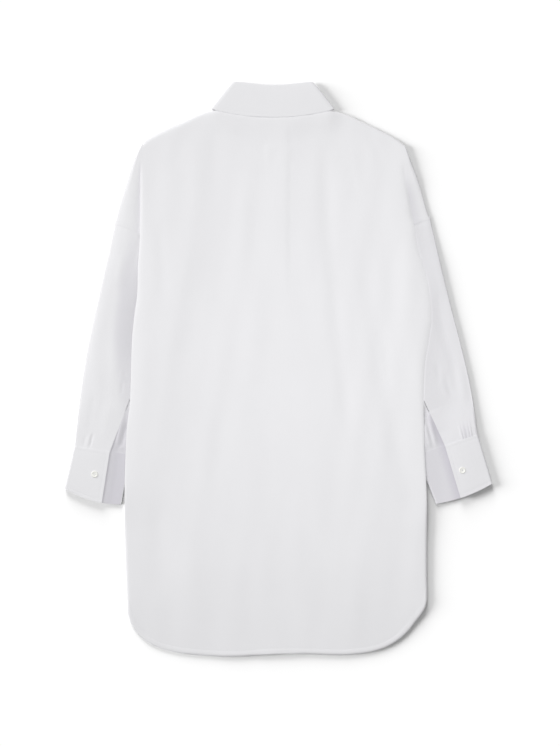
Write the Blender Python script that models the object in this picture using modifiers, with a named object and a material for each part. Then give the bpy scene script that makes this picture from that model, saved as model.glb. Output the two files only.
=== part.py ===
"""A long-sleeved shirt dress in cotton poplin, laid face down on a flat surface, its back upwards.

The frame is in metres with +Z up. The surface is z = 0, the neck points to +Y, the wearer's left
is at -X, and the origin is under the middle of the garment. Every panel is an open surface,
worked out as a grid of points, to which Solidify gives the wall of the cloth. Heights are those
of the middle of the wall. From the surface upwards lie the fronts (over the buttons and the
points of the collar), the sleeves beside and partly under the body, and the back over all.
"""

import math

import bmesh
import bpy
import numpy as np

COLLECTION = "shirt_dress"
LEFT, RIGHT = -1, 1
HANDS = {LEFT: "left", RIGHT: "right"}

# Cloth
WALL = 0.0010
CUFF_WALL = 0.0014
FALL_WALL = 0.0015
STAND_WALL = 0.0012
SEAM_GAP = 0.0005
NECK_GAP = 0.0016
LAYER_GAP = 0.0004
LAYER_STEP = WALL + LAYER_GAP
FRONT_INSET = 0.0016  # how far the fronts stay inside the back's outline

# Heights of the middle of the wall
FLOOR_LEVEL = WALL / 2
HIDDEN_SLEEVE_LEVEL = 0.0029  # the sleeve's upper layer where the body lies on it
BODY_LIFT = 0.0046  # the fronts' rise over the sleeves
COLLAR_LIFT = 0.0023  # the fronts' rise over the points of the collar
BUTTON_BAND_LIFT = 0.0036  # the left front's rise over the right one's band
PLACKET_LIFT = 0.0023  # the right front's rise over the buttons
BACK_LOFT = 0.0030
BACK_RIDGE = 0.0059  # the back over the bands down the middle
BACK_OVER_SLEEVES = BODY_LIFT + 0.0028
BACK_OVER_STAND = 0.0044
BACK_CLEARANCE = 0.0003

# Widths over which the cloth rolls over or comes down
BODY_ROLL = 0.012
SLEEVE_ROLL = 0.014
SLEEVE_HUMP = 0.032
LIFT_SPREAD = 0.050
LIFT_MARGIN = 0.014
BAND_HALF_WIDTH = 0.015
BAND_SPREAD = 0.035
BAND_MARGIN = 0.001
RIDGE_SPREAD = 0.115
DROP_ROLL = 0.35  # as a share of the way in from the contour of a shoulder drop

# Spans, from where a form begins to where it is full: down the body, or out from its middle
SLEEVES_COVERED_FROM, SLEEVES_COVERED_TO = (0.278, 0.226), (-0.295, -0.200)
COLLAR_COVERED_DOWN, COLLAR_COVERED_OUT = (0.255, 0.312), (0.150, 0.108)
BAND_FROM_NECK = (0.378, 0.352)
RIDGE_FROM_NECK = (0.410, 0.388)
STAND_COVERED_DOWN, STAND_COVERED_OUT = (0.383, 0.400), (0.125, 0.092)
SIDE_FOLD = (0.335, 0.275)
DROP_FOLD = (0.325, 0.265)
FOLD_FADE = 0.3  # a fold's ends, as a share of its length
RIDGE_WIDENING = 1.25

# Buttons
BUTTON_RADIUS = 0.0055
BUTTON_DEPTH = 0.0018
BUTTON_STEPS = 12
FRONT_BUTTONS = 8
COLLAR_BUTTON_RISE = 0.016  # above the neck seam
FIRST_BUTTON_DROP = 0.060  # below it
BUTTON_SPACING = 0.085
CUFF_BUTTONS = {LEFT: (-0.2936, -0.1676), RIGHT: (0.2936, -0.1612)}


def table(columns, *rows):
    """A table with named columns: each name gives the array of that column's values."""
    return dict(zip(columns.split(), np.array(rows, dtype=float).T))


# A button's section from its middle: shares of its radius and of its depth
BUTTON_SECTION = table(
    "out up",
    (0.00, 0.72),
    (0.62, 0.72),
    (0.80, 1.00),
    (1.00, 0.62),
    (0.86, 0.00),
    (0.00, 0.00),
)

# The sides of the body, where it folds over the sleeves and further down
BODY_SIDES = table(
    "height left right",
    (0.360, -0.2160, 0.1992),
    (0.335, -0.2200, 0.1992),
    (0.303, -0.2200, 0.2016),
    (0.275, -0.2203, 0.2080),
    (0.250, -0.2206, 0.2125),
    (0.231, -0.2209, 0.2165),
    (0.196, -0.2222, 0.2216),
    (0.165, -0.2245, 0.2312),
    (0.125, -0.2253, 0.2408),
    (0.082, -0.2307, 0.2440),
    (0.045, -0.2341, 0.2392),
    (0.005, -0.2355, 0.2336),
    (-0.049, -0.2371, 0.2318),
    (-0.097, -0.2424, 0.2325),
    (-0.129, -0.2440, 0.2331),
    (-0.185, -0.2456, 0.2360),
    (-0.241, -0.2456, 0.2371),
    (-0.305, -0.2440, 0.2371),
    (-0.391, -0.2403, 0.2374),
)

# The curved hem, from the left side to the right one
HEM = table(
    "across height",
    (-0.2403, -0.3908),
    (-0.2352, -0.4055),
    (-0.2261, -0.4201),
    (-0.2077, -0.4367),
    (-0.1802, -0.4486),
    (-0.1434, -0.4551),
    (-0.0792, -0.4591),
    (0.0136, -0.4540),
    (0.1000, -0.4564),
    (0.1411, -0.4527),
    (0.1656, -0.4463),
    (0.1901, -0.4332),
    (0.2066, -0.4185),
    (0.2184, -0.4035),
    (0.2334, -0.3825),
    (0.2374, -0.3692),
)

# The shoulders and the back of the neck
BACK_TOP = table(
    "across height",
    (-0.2160, 0.3604),
    (-0.2120, 0.3652),
    (-0.1896, 0.3780),
    (-0.1576, 0.3924),
    (-0.1112, 0.4111),
    (-0.0808, 0.4165),
    (-0.0456, 0.4160),
    (-0.0088, 0.4155),
    (0.0296, 0.4160),
    (0.0648, 0.4165),
    (0.0936, 0.4111),
    (0.1400, 0.3924),
    (0.1704, 0.3780),
    (0.1928, 0.3652),
    (0.1992, 0.3604),
)
NECK_SLOPE = 0.9  # how much of the way up counts in the roll of the shoulders

# The dropped shoulders, beyond the sides of the body, down to the armhole seams
SHOULDER_DROP = table(
    "height left right",
    (0.3604, -0.2160, 0.1992),
    (0.3524, -0.2216, 0.2040),
    (0.3268, -0.2328, 0.2136),
    (0.3012, -0.2408, 0.2232),
    (0.2756, -0.2488, 0.2304),
    (0.2500, -0.2560, 0.2376),
    (0.2308, -0.2608, 0.2446),
)

# How far the hidden part of each sleeve reaches under the body
SLEEVE_REACH = table(
    "height left right",
    (0.239, -0.2203, 0.2096),
    (0.195, -0.1880, 0.1760),
    (0.130, -0.1496, 0.1384),
    (0.047, -0.1768, 0.1665),
    (-0.033, -0.2024, 0.1895),
    (-0.097, -0.2216, 0.2056),
    (-0.139, -0.2376, 0.2216),
    (-0.215, -0.2520, 0.2526),
)

# The largest folds of the back: a line from start to end, the half width, and the rise or drop
BACK_FOLDS = table(
    "start_x start_y end_x end_y bow width rise",
    (-0.1016, 0.390, -0.1896, -0.210, 0.006, 0.034, -0.0013),
    (-0.1816, 0.215, -0.1704, 0.100, 0.002, 0.013, 0.0008),
    (-0.2056, 0.236, -0.1896, 0.105, 0.002, 0.013, -0.0008),
    (0.0584, 0.330, 0.0984, -0.040, 0.003, 0.015, -0.0011),
    (0.0968, 0.200, 0.1320, -0.045, 0.003, 0.013, 0.0010),
    (0.1272, 0.185, 0.1688, -0.060, 0.002, 0.013, -0.0010),
    (0.1864, 0.180, 0.2008, 0.050, 0.001, 0.014, 0.0010),
)

# The rows of the body, as steps from one height to the next at its left side
BODY_ROWS = table(
    "upper lower steps",
    (0.3604, 0.3028, 4),
    (0.3028, 0.2148, 6),
    (0.2148, 0.1652, 2),
    (0.1652, -0.1000, 5),
    (-0.1000, -0.1900, 2),
    (-0.1900, -0.3000, 5),
    (-0.3000, -0.3908, 4),
)
BACK_COLUMNS = 31
COLUMNS_TO_SIDES = 0.7  # how far the back's columns crowd towards its sides
FRONT_SIDE_COLUMNS = 7
FRONT_COLUMNS = {
    LEFT: (-0.140, -0.110, -0.086, -0.0785, -0.0765, -0.0705, -0.060, -0.043, -0.026, -0.015),
    RIGHT: (0.135, 0.102, 0.072, 0.0610, 0.0590, 0.0550, 0.049, 0.038, 0.025, 0.0155),
}
PLACKET_COLUMNS = 5
ARMHOLE_ROW = {LEFT: 10, RIGHT: 9}
DROP_COLUMNS = 5
DROP_STEP = 0.0010  # the width in which the folded side of the body comes down to the drop

# The armholes: their ends, how far the seam bows upwards, and the fullness along it
ARMHOLES = {
    LEFT: {"outer": (-0.2608, 0.2308), "under": (-0.1496, 0.1268), "bow": 0.0224},
    RIGHT: {"outer": (0.2424, 0.2396), "under": (0.1384, 0.1348), "bow": 0.0224},
}
ARMHOLE_BULGE = 0.0022
ARMHOLE_FOLD_RADIUS = 0.0007
ARMHOLE_REACH = 0.22  # how far down the sleeve its upper layer follows the armhole
ARMHOLE_BOW_REACH = 0.6

# The overarm and underarm edges of the sleeves, from the armhole (0) to the cuff (1)
SLEEVES = {
    LEFT: table(
        "along over_x over_y under_x under_y",
        (0.0, -0.2608, 0.2308, -0.1496, 0.1268),
        (0.2, -0.2771, 0.1596, -0.1680, 0.0739),
        (0.4, -0.2930, 0.0884, -0.1863, 0.0171),
        (0.6, -0.3076, 0.0172, -0.2034, -0.0363),
        (0.8, -0.3181, -0.0540, -0.2196, -0.0903),
        (1.0, -0.3259, -0.1252, -0.2376, -0.1388),
    ),
    RIGHT: table(
        "along over_x over_y under_x under_y",
        (0.0, 0.2424, 0.2396, 0.1384, 0.1348),
        (0.2, 0.2585, 0.1704, 0.1566, 0.0803),
        (0.4, 0.2754, 0.1013, 0.1736, 0.0255),
        (0.6, 0.2932, 0.0321, 0.1895, -0.0300),
        (0.8, 0.3086, -0.0370, 0.2024, -0.0840),
        (1.0, 0.3184, -0.1062, 0.2216, -0.1396),
    ),
}
SLEEVE_BULGE = table(
    "along bulge fold_radius",
    (0.00, 0.0022, 0.0007),
    (0.20, 0.0038, 0.0016),
    (0.45, 0.0046, 0.0018),
    (0.75, 0.0040, 0.0018),
    (1.00, 0.0024, 0.0021),
)
SLEEVE_CLOSED_ROWS = 9
SLEEVE_OPEN_ROWS = (0.09, 0.20, 0.33, 0.47, 0.61, 0.73, 0.83, 0.91, 0.96, 1.0)
SLEEVE_LOWER_COLUMNS = 6
SLEEVE_UNDERLAP_COLUMNS = 9

# Round a folded edge: the angle from its furthest point, the way in from it and the way up as
# shares of its radius, and the clearance of the flat layers from it
FOLD_ANGLE = np.radians([60, 0, -60])
FOLD_IN = 1 - np.cos(FOLD_ANGLE)
FOLD_UP = np.sin(FOLD_ANGLE) / math.sin(FOLD_ANGLE[0])
FOLD_CLEARANCE = 1.1

# The vents: where along the sleeve each starts, its place across at its start and at the cuff,
# and the gathers above the cuff on the overlap and on the underlap
VENTS = {
    LEFT: {"start": 0.66, "across_start": 0.74, "across_cuff": 0.634, "gathers": 2, "under": 2},
    RIGHT: {"start": 0.72, "across_start": 0.685, "across_cuff": 0.537, "gathers": 4, "under": 3},
}
VENT_LIFT = 0.0024  # how far the overlap stands above the underlap
VENT_LIFT_SPREAD = 0.022
VENT_LAP = 0.016
VENT_SLIT = 0.0012

# Shares of the vent's length from its start to the cuff
VENT_LIFT_SPAN = (0.0, 0.32)
VENT_LAP_SPAN = (0.22, 0.60)
VENT_SLIT_OPENS, VENT_SLIT_CLOSES = (0.0, 0.04), (0.50, 0.25)
TO_CUFF_SPAN = (0.55, 1.0)
GATHERS_GROW, GATHERS_PRESSED = (0.62, 0.93), (0.93, 1.0)

# Gathers: their rise, and the part of each layer's width that they take
GATHER_RISE = 0.0015
UNDER_GATHER_RISE = 0.0009
GATHERS_PRESSED_BY = 0.75
GATHERS_BESIDE_BODY = (-0.002, 0.006)
UPPER_GATHERS, UNDER_GATHERS = (0.16, 0.56), (0.25, 0.72)
VENT_EDGE_COLUMNS, GATHER_COLUMNS = (1, 0.62, 6), (0.56, 0.16, 13)

# The cuffs: overarm corners, underarm corners, where the lap ends, and the bow of the free edge
CUFFS = {
    LEFT: {"over_edge": (-0.3411, -0.1903), "under_edge": (-0.2520, -0.2156), "bow": -0.0070},
    RIGHT: {"over_edge": (0.3414, -0.1826), "under_edge": (0.2526, -0.2148), "bow": -0.0048},
}
CUFF_DEPTH, CUFF_WIDTH = 0.080, 0.090
CUFF_LAP_EDGE = {LEFT: 0.66, RIGHT: 0.57}  # across the free edge
CUFF_LAP = 0.025
CUFF_CROWN = 0.0006
CUFF_LOWER, CUFF_UNDERLAP, CUFF_OVERLAP = CUFF_WALL / 2, 0.0025, 0.0049
CUFF_ROWS = 5
CUFF_OVER_COLUMNS, CUFF_LOWER_COLUMNS, CUFF_UNDER_COLUMNS = 8, 6, 6

# Half of the collar, from the middle of the back to the front: the fold line, the free edge of
# the fall and the neck seam as distances from the collar's middle, the way round from the back
# (0) to the front (180 degrees), and the direction outwards in plan
COLLAR = table(
    "fold_x fold_y edge_x edge_y seam_x seam_y turn out_x out_y",
    (0.0000, 0.4543, 0.0000, 0.3996, 0.0000, 0.4164, 0, 0, 0),
    (0.0170, 0.4548, 0.0225, 0.3999, 0.0190, 0.4166, 0, 0, 0),
    (0.0330, 0.4563, 0.0450, 0.4013, 0.0370, 0.4169, 0, 0, 0),
    (0.0480, 0.4580, 0.0680, 0.4043, 0.0540, 0.4171, 0, 0, 0),
    (0.0580, 0.4590, 0.0885, 0.4086, 0.0670, 0.4173, 0, 0, 0),
    (0.0608, 0.4580, 0.0950, 0.4128, 0.0700, 0.4175, 45, 0.83, 0.56),
    (0.0612, 0.4572, 0.0956, 0.4138, 0.0704, 0.4175, 90, 0.83, 0.56),
    (0.0612, 0.4550, 0.0950, 0.4120, 0.0700, 0.4171, 135, 0.83, 0.56),
    (0.0590, 0.4500, 0.0925, 0.4030, 0.0688, 0.4140, 180, 0, 0),
    (0.0510, 0.4310, 0.0855, 0.3820, 0.0640, 0.3970, 180, 0, 0),
    (0.0400, 0.4110, 0.0775, 0.3610, 0.0550, 0.3790, 180, 0, 0),
    (0.0280, 0.3940, 0.0685, 0.3400, 0.0405, 0.3625, 180, 0, 0),
    (0.0150, 0.3830, 0.0590, 0.3220, 0.0230, 0.3520, 180, 0, 0),
)
SIDE_TURN, FRONT_TURN = 90, 180
THROAT_HEIGHT = 0.3465  # the neck seam at the middle front
COLLAR_MIDDLE = -0.0088  # at the back; it comes to x = 0 at the throat
RING_MIDDLE, RING_RADIUS = 0.0033, 0.0008  # the stand, between its front and back heights
FALL_OFFSET = 0.00175  # from the stand's wall to the fall's
FALL_RISE = 0.0006  # of its free edge, over the back

# Sections from the fold line outwards: a distance, a share of the way to the free edge, and the
# offset from the stand's wall as a share of the fall's
FALL_SECTION = table(
    "distance share offset",
    (0.0010, 0.00, 0.00),
    (0.0003, 0.00, 0.25),
    (0.0003, 0.00, 0.75),
    (0.0010, 0.00, 1.00),
    (0.0000, 0.25, 1.00),
    (0.0000, 0.55, 1.00),
    (0.0000, 0.85, 1.00),
    (0.0000, 1.00, 1.00),
)
STAND_SECTION = table(
    "distance share offset",
    (0.0046, 0.0, 0.0),
    (0.0000, 0.5, 0.0),
    (0.0000, 1.0, 0.0),
)

# The stand's ends, which overlap at the throat: how far past the middle, how far up the neck
# seam, their heights and the distance from the middle over which they come to them
STAND_OVERLAP = 0.0120
STAND_END_RISE = 0.0040
STAND_ENDS = {LEFT: 0.0042, RIGHT: 0.0027}
STAND_END_SPAN = (0.0360, 0.0155)
STAND_END_ROWS = 3


def smooth(x, xs, ys):
    """A smooth curve through the points (xs, ys) that never overshoots, flat beyond its ends."""
    order = np.argsort(xs)
    xs, ys = xs[order], ys[order]
    steps = np.diff(xs)
    rates = np.diff(ys) / steps
    slopes = np.concatenate([rates[:1], np.zeros(len(xs) - 2), rates[-1:]])
    same_way = rates[:-1] * rates[1:] > 0
    before, after = rates[:-1][same_way], rates[1:][same_way]
    slopes[1:-1][same_way] = 2 * before * after / (before + after)
    place = np.clip(np.searchsorted(xs, x, side="right") - 1, 0, len(xs) - 2)
    part = np.clip((x - xs[place]) / steps[place], 0, 1)
    start, end = ys[place], ys[place + 1]
    leaving = slopes[place] * steps[place] * part * (1 - part) ** 2
    arriving = slopes[place + 1] * steps[place] * part * part * (1 - part)
    return start + (end - start) * part * part * (3 - 2 * part) + leaving - arriving


def ramp(x, start, end):
    """From 0 at start to 1 at end, level at both."""
    part = np.clip((x - start) / (end - start), 0, 1)
    return part * part * (3 - 2 * part)


def roll(part):
    """A quarter of an ellipse, from 0 at the edge of the cloth to 1."""
    return np.sqrt(1 - (1 - np.clip(part, 0, 1)) ** 2)


def arch(part):
    """A parabola from 0 at both ends to 1 in the middle."""
    return 4 * part * (1 - part)


def soft_max(*levels):
    """The highest of several heights, with the corners between them rounded."""
    return sum(np.maximum(level, 0) ** 6 for level in levels) ** (1 / 6)


def mix(a, b, share):
    return a + (b - a) * share


def grid_of(x, y, z):
    """A grid of points from coordinates that may be given for rows or columns only."""
    return np.stack(np.broadcast_arrays(x, y, z), axis=-1)


def side(y, hand):
    """The side of the body at these heights."""
    return smooth(y, BODY_SIDES["height"], BODY_SIDES[HANDS[hand]])


def hem_height(x):
    return smooth(x, HEM["across"], HEM["height"])


def back_top_height(x):
    return smooth(x, BACK_TOP["across"], BACK_TOP["height"])


def collar_middle(seam_y):
    """The middle of the collar, which lies a little to the left above the throat."""
    return COLLAR_MIDDLE * ramp(seam_y, THROAT_HEIGHT, COLLAR["seam_y"][0])


def front_top_height(x):
    """The fronts' upper edge: the back's shoulders, then the neck seam down to the throat."""
    in_front = COLLAR["turn"] == FRONT_TURN
    seam_x, seam_y = COLLAR["seam_x"][in_front], COLLAR["seam_y"][in_front]
    middle = collar_middle(seam_y)
    neck_x = np.concatenate([middle - seam_x, [0], (middle + seam_x)[::-1]])
    neck_y = np.concatenate([seam_y, [THROAT_HEIGHT], seam_y[::-1]])
    at_neck = (x > neck_x[0]) & (x < neck_x[-1])
    shoulders = back_top_height(x) - FRONT_INSET
    return np.where(at_neck, smooth(x, neck_x, neck_y) - NECK_GAP, shoulders)


def rows_down():
    """The rows of the body, from 0 at its upper edge to 1 at its hem."""
    heights = [BODY_ROWS["upper"][0]]
    for upper, lower, steps in zip(*BODY_ROWS.values()):
        heights.extend(np.linspace(upper, lower, int(steps) + 1)[1:])
    heights = np.array(heights)
    return (heights[0] - heights) / (heights[0] - heights[-1])


def rows_between(top, hem):
    """The heights of each row (down the first axis) of columns that run from top to hem."""
    return top + rows_down()[:, None] * (hem - top)


def back_columns():
    """The places of the back's columns, from its left side (0) to its right (1)."""
    even = np.linspace(0, 1, BACK_COLUMNS)
    crowded = 0.5 - 0.5 * np.cos(math.pi * even)
    return mix(even, crowded, COLUMNS_TO_SIDES)


def sleeve_lift(x, y):
    """1 over the hidden part of a sleeve, coming down to 0 beside and beyond it."""
    along = ramp(y, *SLEEVES_COVERED_FROM) * ramp(y, *SLEEVES_COVERED_TO)
    lifts = []
    for hand, name in HANDS.items():
        reach = hand * smooth(y, SLEEVE_REACH["height"], SLEEVE_REACH[name])
        lifts.append(ramp(hand * x, reach - LIFT_SPREAD, reach - LIFT_MARGIN))
    return along * np.maximum(*lifts)


def front_level(x, y, band_lift):
    """The height of a front whose middle edge is lifted by band_lift."""
    band = ramp(np.abs(x), BAND_HALF_WIDTH + BAND_SPREAD, BAND_HALF_WIDTH + BAND_MARGIN)
    collar = ramp(y, *COLLAR_COVERED_DOWN) * ramp(np.abs(x), *COLLAR_COVERED_OUT)
    lift = soft_max(BODY_LIFT * sleeve_lift(x, y), COLLAR_LIFT * collar, band_lift * band)
    return FLOOR_LEVEL + lift


def back_folds(x, y):
    """The largest folds: a bump across a bowed line, coming to nothing at both ends."""
    height = np.zeros_like(x)
    for start_x, start_y, end_x, end_y, bow, width, rise in zip(*BACK_FOLDS.values()):
        length = math.hypot(end_x - start_x, end_y - start_y)
        along_x, along_y = (end_x - start_x) / length, (end_y - start_y) / length
        along = ((x - start_x) * along_x + (y - start_y) * along_y) / length
        off = (x - start_x) * along_y - (y - start_y) * along_x - bow * arch(along)
        ends = ramp(along, 0, FOLD_FADE) * ramp(along, 1, 1 - FOLD_FADE)
        height = height + rise * ends * np.exp(-((off / width) ** 2))
    return height


def back_level(x, y):
    """The height of the back: low over the fronts, higher over the bands and the sleeves."""
    band_lift = BUTTON_BAND_LIFT * ramp(y, *BAND_FROM_NECK)
    fronts = front_level(x, y, band_lift) + LAYER_STEP
    ridge = ramp(np.abs(x), RIDGE_SPREAD, BAND_HALF_WIDTH) * ramp(y, *RIDGE_FROM_NECK)
    over_sleeves = np.maximum(sleeve_lift(x * RIDGE_WIDENING, y), sleeve_lift(x, y))
    loft = np.full_like(x, BACK_LOFT)
    crown = soft_max(loft, BACK_RIDGE * ridge, BACK_OVER_SLEEVES * over_sleeves)
    crown = crown + back_folds(x, y)
    from_middle = np.abs(x - COLLAR_MIDDLE)
    neck = ramp(y, *STAND_COVERED_DOWN) * ramp(from_middle, *STAND_COVERED_OUT)
    crown = np.maximum(mix(crown, BACK_OVER_STAND, neck), fronts + BACK_CLEARANCE)
    unfolded = 1 - ramp(y, *SIDE_FOLD)
    inside = [
        x - side(y, LEFT) + unfolded,
        side(y, RIGHT) - x + unfolded,
        y - hem_height(x),
        (back_top_height(x) - y) * NECK_SLOPE + neck,
    ]
    nearest = np.clip(np.minimum.reduce(inside), 0, None)
    return mix(fronts, crown, roll(nearest / BODY_ROLL))


def armhole(hand, across):
    """The armhole seam in plan, from its outer end (0) to the underarm (1)."""
    (outer_x, outer_y), (under_x, under_y) = ARMHOLES[hand]["outer"], ARMHOLES[hand]["under"]
    bow = ARMHOLES[hand]["bow"] * arch(across)
    return mix(outer_x, under_x, across), mix(outer_y, under_y, across) + bow


def armhole_level(share):
    """The height along the visible armhole seam, from its outer end (0) to the body's side (1)."""
    edge = FLOOR_LEVEL + 2 * ARMHOLE_FOLD_RADIUS
    level = mix(edge, HIDDEN_SLEEVE_LEVEL, roll(share / DROP_ROLL))
    return level + ARMHOLE_BULGE * arch(share)


def seam_share(hand):
    """How far along the armhole seam the body's side crosses it."""
    across = np.linspace(0, 1, 201)
    x, y = armhole(hand, across)
    return float(across[np.argmin(np.abs(x - side(y, hand)))])


def shoulder_drop(hand, side_points, inset):
    """The plan of the cloth beyond the side of the body, from its fold down to the armhole seam.

    It has a row for each row of the body down to the armhole, and runs from the outer contour
    (share 0) to just outside the body's folded side (share 1)."""
    side_x, side_y = side_points[:, 0], side_points[:, 1]
    share = np.linspace(0, 1, DROP_COLUMNS)
    outer_x, under_x = ARMHOLES[hand]["outer"][0], ARMHOLES[hand]["under"][0]
    seam_x = mix(outer_x - hand * inset, side_x[-1] + hand * DROP_STEP, share)
    seam_y = armhole(hand, (seam_x - outer_x) / (under_x - outer_x))[1]
    down = ((side_y[0] - side_y) / (side_y[0] - side_y[-1]))[:, None]
    y = side_y[0] + down * (seam_y - side_y[0])
    contour = smooth(y, SHOULDER_DROP["height"], SHOULDER_DROP[HANDS[hand]]) - hand * inset
    x = mix(contour, side_x[:, None] + hand * DROP_STEP, share)
    x[-1] = seam_x
    return x, y, share, down


def back_drop_level(y, share, down, side_level):
    """The back's height on a shoulder drop: rolled at the contour, low beside the body's fold."""
    fold_level = mix(side_level[:, None], HIDDEN_SLEEVE_LEVEL, ramp(y, *DROP_FOLD))
    level = mix(FLOOR_LEVEL + LAYER_STEP, fold_level, roll(share / DROP_ROLL))
    return level + ARMHOLE_BULGE * down * arch(share)


def with_side(x, y, z, side_points):
    """A shoulder drop's grid, with the body's side as its last column so that they share it."""
    grid = np.concatenate([grid_of(x, y, z), side_points[:, None]], axis=1)
    grid[0] = side_points[0]
    return grid


def material(name, colour, roughness):
    """A plain finish."""
    finish = bpy.data.materials.new(name)
    finish.use_nodes = True
    shader = finish.node_tree.nodes["Principled BSDF"]
    shader.inputs["Base Color"].default_value = (*colour, 1)
    shader.inputs["Roughness"].default_value = roughness
    shader.inputs["Metallic"].default_value = 0
    return finish


def add_object(name, mesh, finish, collection):
    thing = bpy.data.objects.new(name, mesh)
    mesh.materials.append(finish)
    collection.objects.link(thing)
    return thing


def cloth(name, grids, wall, finish, collection):
    """One sheet of cloth: grids of points whose shared points are merged, given a wall."""
    shape = bmesh.new()
    for grid in grids:
        corners = [[shape.verts.new(point) for point in row] for row in grid]
        for upper, lower in zip(corners, corners[1:]):
            for j in range(len(upper) - 1):
                shape.faces.new((upper[j], lower[j], lower[j + 1], upper[j + 1]))
    bmesh.ops.remove_doubles(shape, verts=shape.verts, dist=1e-6)
    bmesh.ops.recalc_face_normals(shape, faces=shape.faces)
    mesh = bpy.data.meshes.new(name)
    shape.to_mesh(mesh)
    shape.free()
    mesh.shade_smooth()
    sheet = add_object(name, mesh, finish, collection)
    solid = sheet.modifiers.new("wall", "SOLIDIFY")
    solid.thickness = wall
    solid.offset = 0


def make_back(finish, collection):
    """The back: the body's grid and, beyond its folded sides, the two dropped shoulders."""
    across = back_columns()
    top = back_top_height(mix(BACK_TOP["across"][0], BACK_TOP["across"][-1], across))
    hem = hem_height(mix(HEM["across"][0], HEM["across"][-1], across))
    y = rows_between(top, hem)
    x = mix(side(y, LEFT), side(y, RIGHT), across)
    body = grid_of(x, y, back_level(x, y))
    grids = [body]
    for hand, column in ((LEFT, 0), (RIGHT, -1)):
        side_points = body[: ARMHOLE_ROW[hand] + 1, column]
        x, y, share, down = shoulder_drop(hand, side_points, 0)
        z = back_drop_level(y, share, down, side_points[:, 2])
        grids.append(with_side(x, y, z, side_points))
    cloth("back", grids, WALL, finish, collection)


def make_front(hand, finish, collection):
    """A front: from the side to the middle edge, with its dropped shoulder on the surface.

    The columns near the side are the back's own, and those further in run straight down."""
    band_lift = {LEFT: BUTTON_BAND_LIFT, RIGHT: PLACKET_LIFT}[hand]
    side_part = back_columns()[:FRONT_SIDE_COLUMNS]
    across = side_part if hand == LEFT else 1 - side_part
    straight = FRONT_COLUMNS[hand]
    top_x = mix(BACK_TOP["across"][0], BACK_TOP["across"][-1], across)
    hem_x = mix(HEM["across"][0], HEM["across"][-1], across)
    top = front_top_height(np.append(top_x, straight))
    hem = hem_height(np.append(hem_x, straight)) + FRONT_INSET
    y = rows_between(top, hem)
    near_side = y[:, :FRONT_SIDE_COLUMNS]
    left = side(near_side, LEFT) + FRONT_INSET
    right = side(near_side, RIGHT) - FRONT_INSET
    inner = np.broadcast_to(straight, (len(y), len(straight)))
    x = np.concatenate([mix(left, right, across), inner], axis=1)
    front = grid_of(x, y, front_level(x, y, band_lift))
    side_points = front[: ARMHOLE_ROW[hand] + 1, 0]
    drop_x, drop_y = shoulder_drop(hand, side_points, FRONT_INSET)[:2]
    grids = [front, with_side(drop_x, drop_y, FLOOR_LEVEL, side_points)]
    cloth(f"front_{HANDS[hand]}", grids, WALL, finish, collection)


def make_placket(finish, collection):
    """The right front's buttonhole band, a strip the length of the front from neck to hem."""
    x = np.linspace(-BAND_HALF_WIDTH, BAND_HALF_WIDTH, PLACKET_COLUMNS)
    y = rows_between(front_top_height(x), hem_height(x) + FRONT_INSET)[::2]
    grid = grid_of(x, y, FLOOR_LEVEL + PLACKET_LIFT)
    cloth("placket_right", [grid], WALL, finish, collection)


def sleeve_edges(hand, along):
    """The overarm and the underarm edge at places along a sleeve: x and y of each."""
    edges = SLEEVES[hand]
    return [
        smooth(along, edges["along"], edges[name])
        for name in ("over_x", "over_y", "under_x", "under_y")
    ]


def sleeve_plan(hand, along, across):
    """The plan of a sleeve: x and y for places along it and across its flat width."""
    over_x, over_y, under_x, under_y = sleeve_edges(hand, along)
    bow = ARMHOLES[hand]["bow"] * np.clip(1 - along / ARMHOLE_BOW_REACH, 0, 1) ** 2
    y = mix(over_y, under_y, across) + bow * arch(across) - SEAM_GAP
    return mix(over_x, under_x, across), y


def sleeve_width(hand, along):
    over_x, over_y, under_x, under_y = sleeve_edges(hand, along)
    return np.hypot(under_x - over_x, under_y - over_y)


def sleeve_fold_radius(along):
    return smooth(along, SLEEVE_BULGE["along"], SLEEVE_BULGE["fold_radius"])


def sleeve_upper_level(hand, along, across):
    """The height of the upper layer: rolled at the overarm, full beside the body, low under it."""
    x, y = sleeve_plan(hand, along, across)
    bulge = smooth(along, SLEEVE_BULGE["along"], SLEEVE_BULGE["bulge"])
    edge = FLOOR_LEVEL + 2 * sleeve_fold_radius(along)
    beside = hand * (x - side(y, hand))
    full = HIDDEN_SLEEVE_LEVEL + bulge * ramp(beside, 0, SLEEVE_HUMP)
    from_overarm = across * sleeve_width(hand, along)
    level = mix(edge, full, roll(from_overarm / SLEEVE_ROLL))
    at_seam = armhole_level(np.clip(across / seam_share(hand), 0, 1))
    return mix(at_seam, level, ramp(along, 0, ARMHOLE_REACH))


def gathers(place, count, zone):
    """Even ridges across a zone, 0 outside it and 1 along the top of each."""
    start, end = zone
    turns = np.clip((place - start) / (end - start), 0, 1) * count
    return 0.5 - 0.5 * np.cos(2 * math.pi * turns)


def gather_growth(down):
    """How full the gathers are down a vent: fullest above the cuff, pressed small at its seam."""
    return ramp(down, *GATHERS_GROW) * (1 - GATHERS_PRESSED_BY * ramp(down, *GATHERS_PRESSED))


def underlap_level(down):
    """The height of the layer under a vent, which comes down to the cuff's underlap."""
    return mix(HIDDEN_SLEEVE_LEVEL, CUFF_UNDERLAP, ramp(down, *TO_CUFF_SPAN))


def vent_across(hand, down):
    return mix(VENTS[hand]["across_start"], VENTS[hand]["across_cuff"], down)


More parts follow.
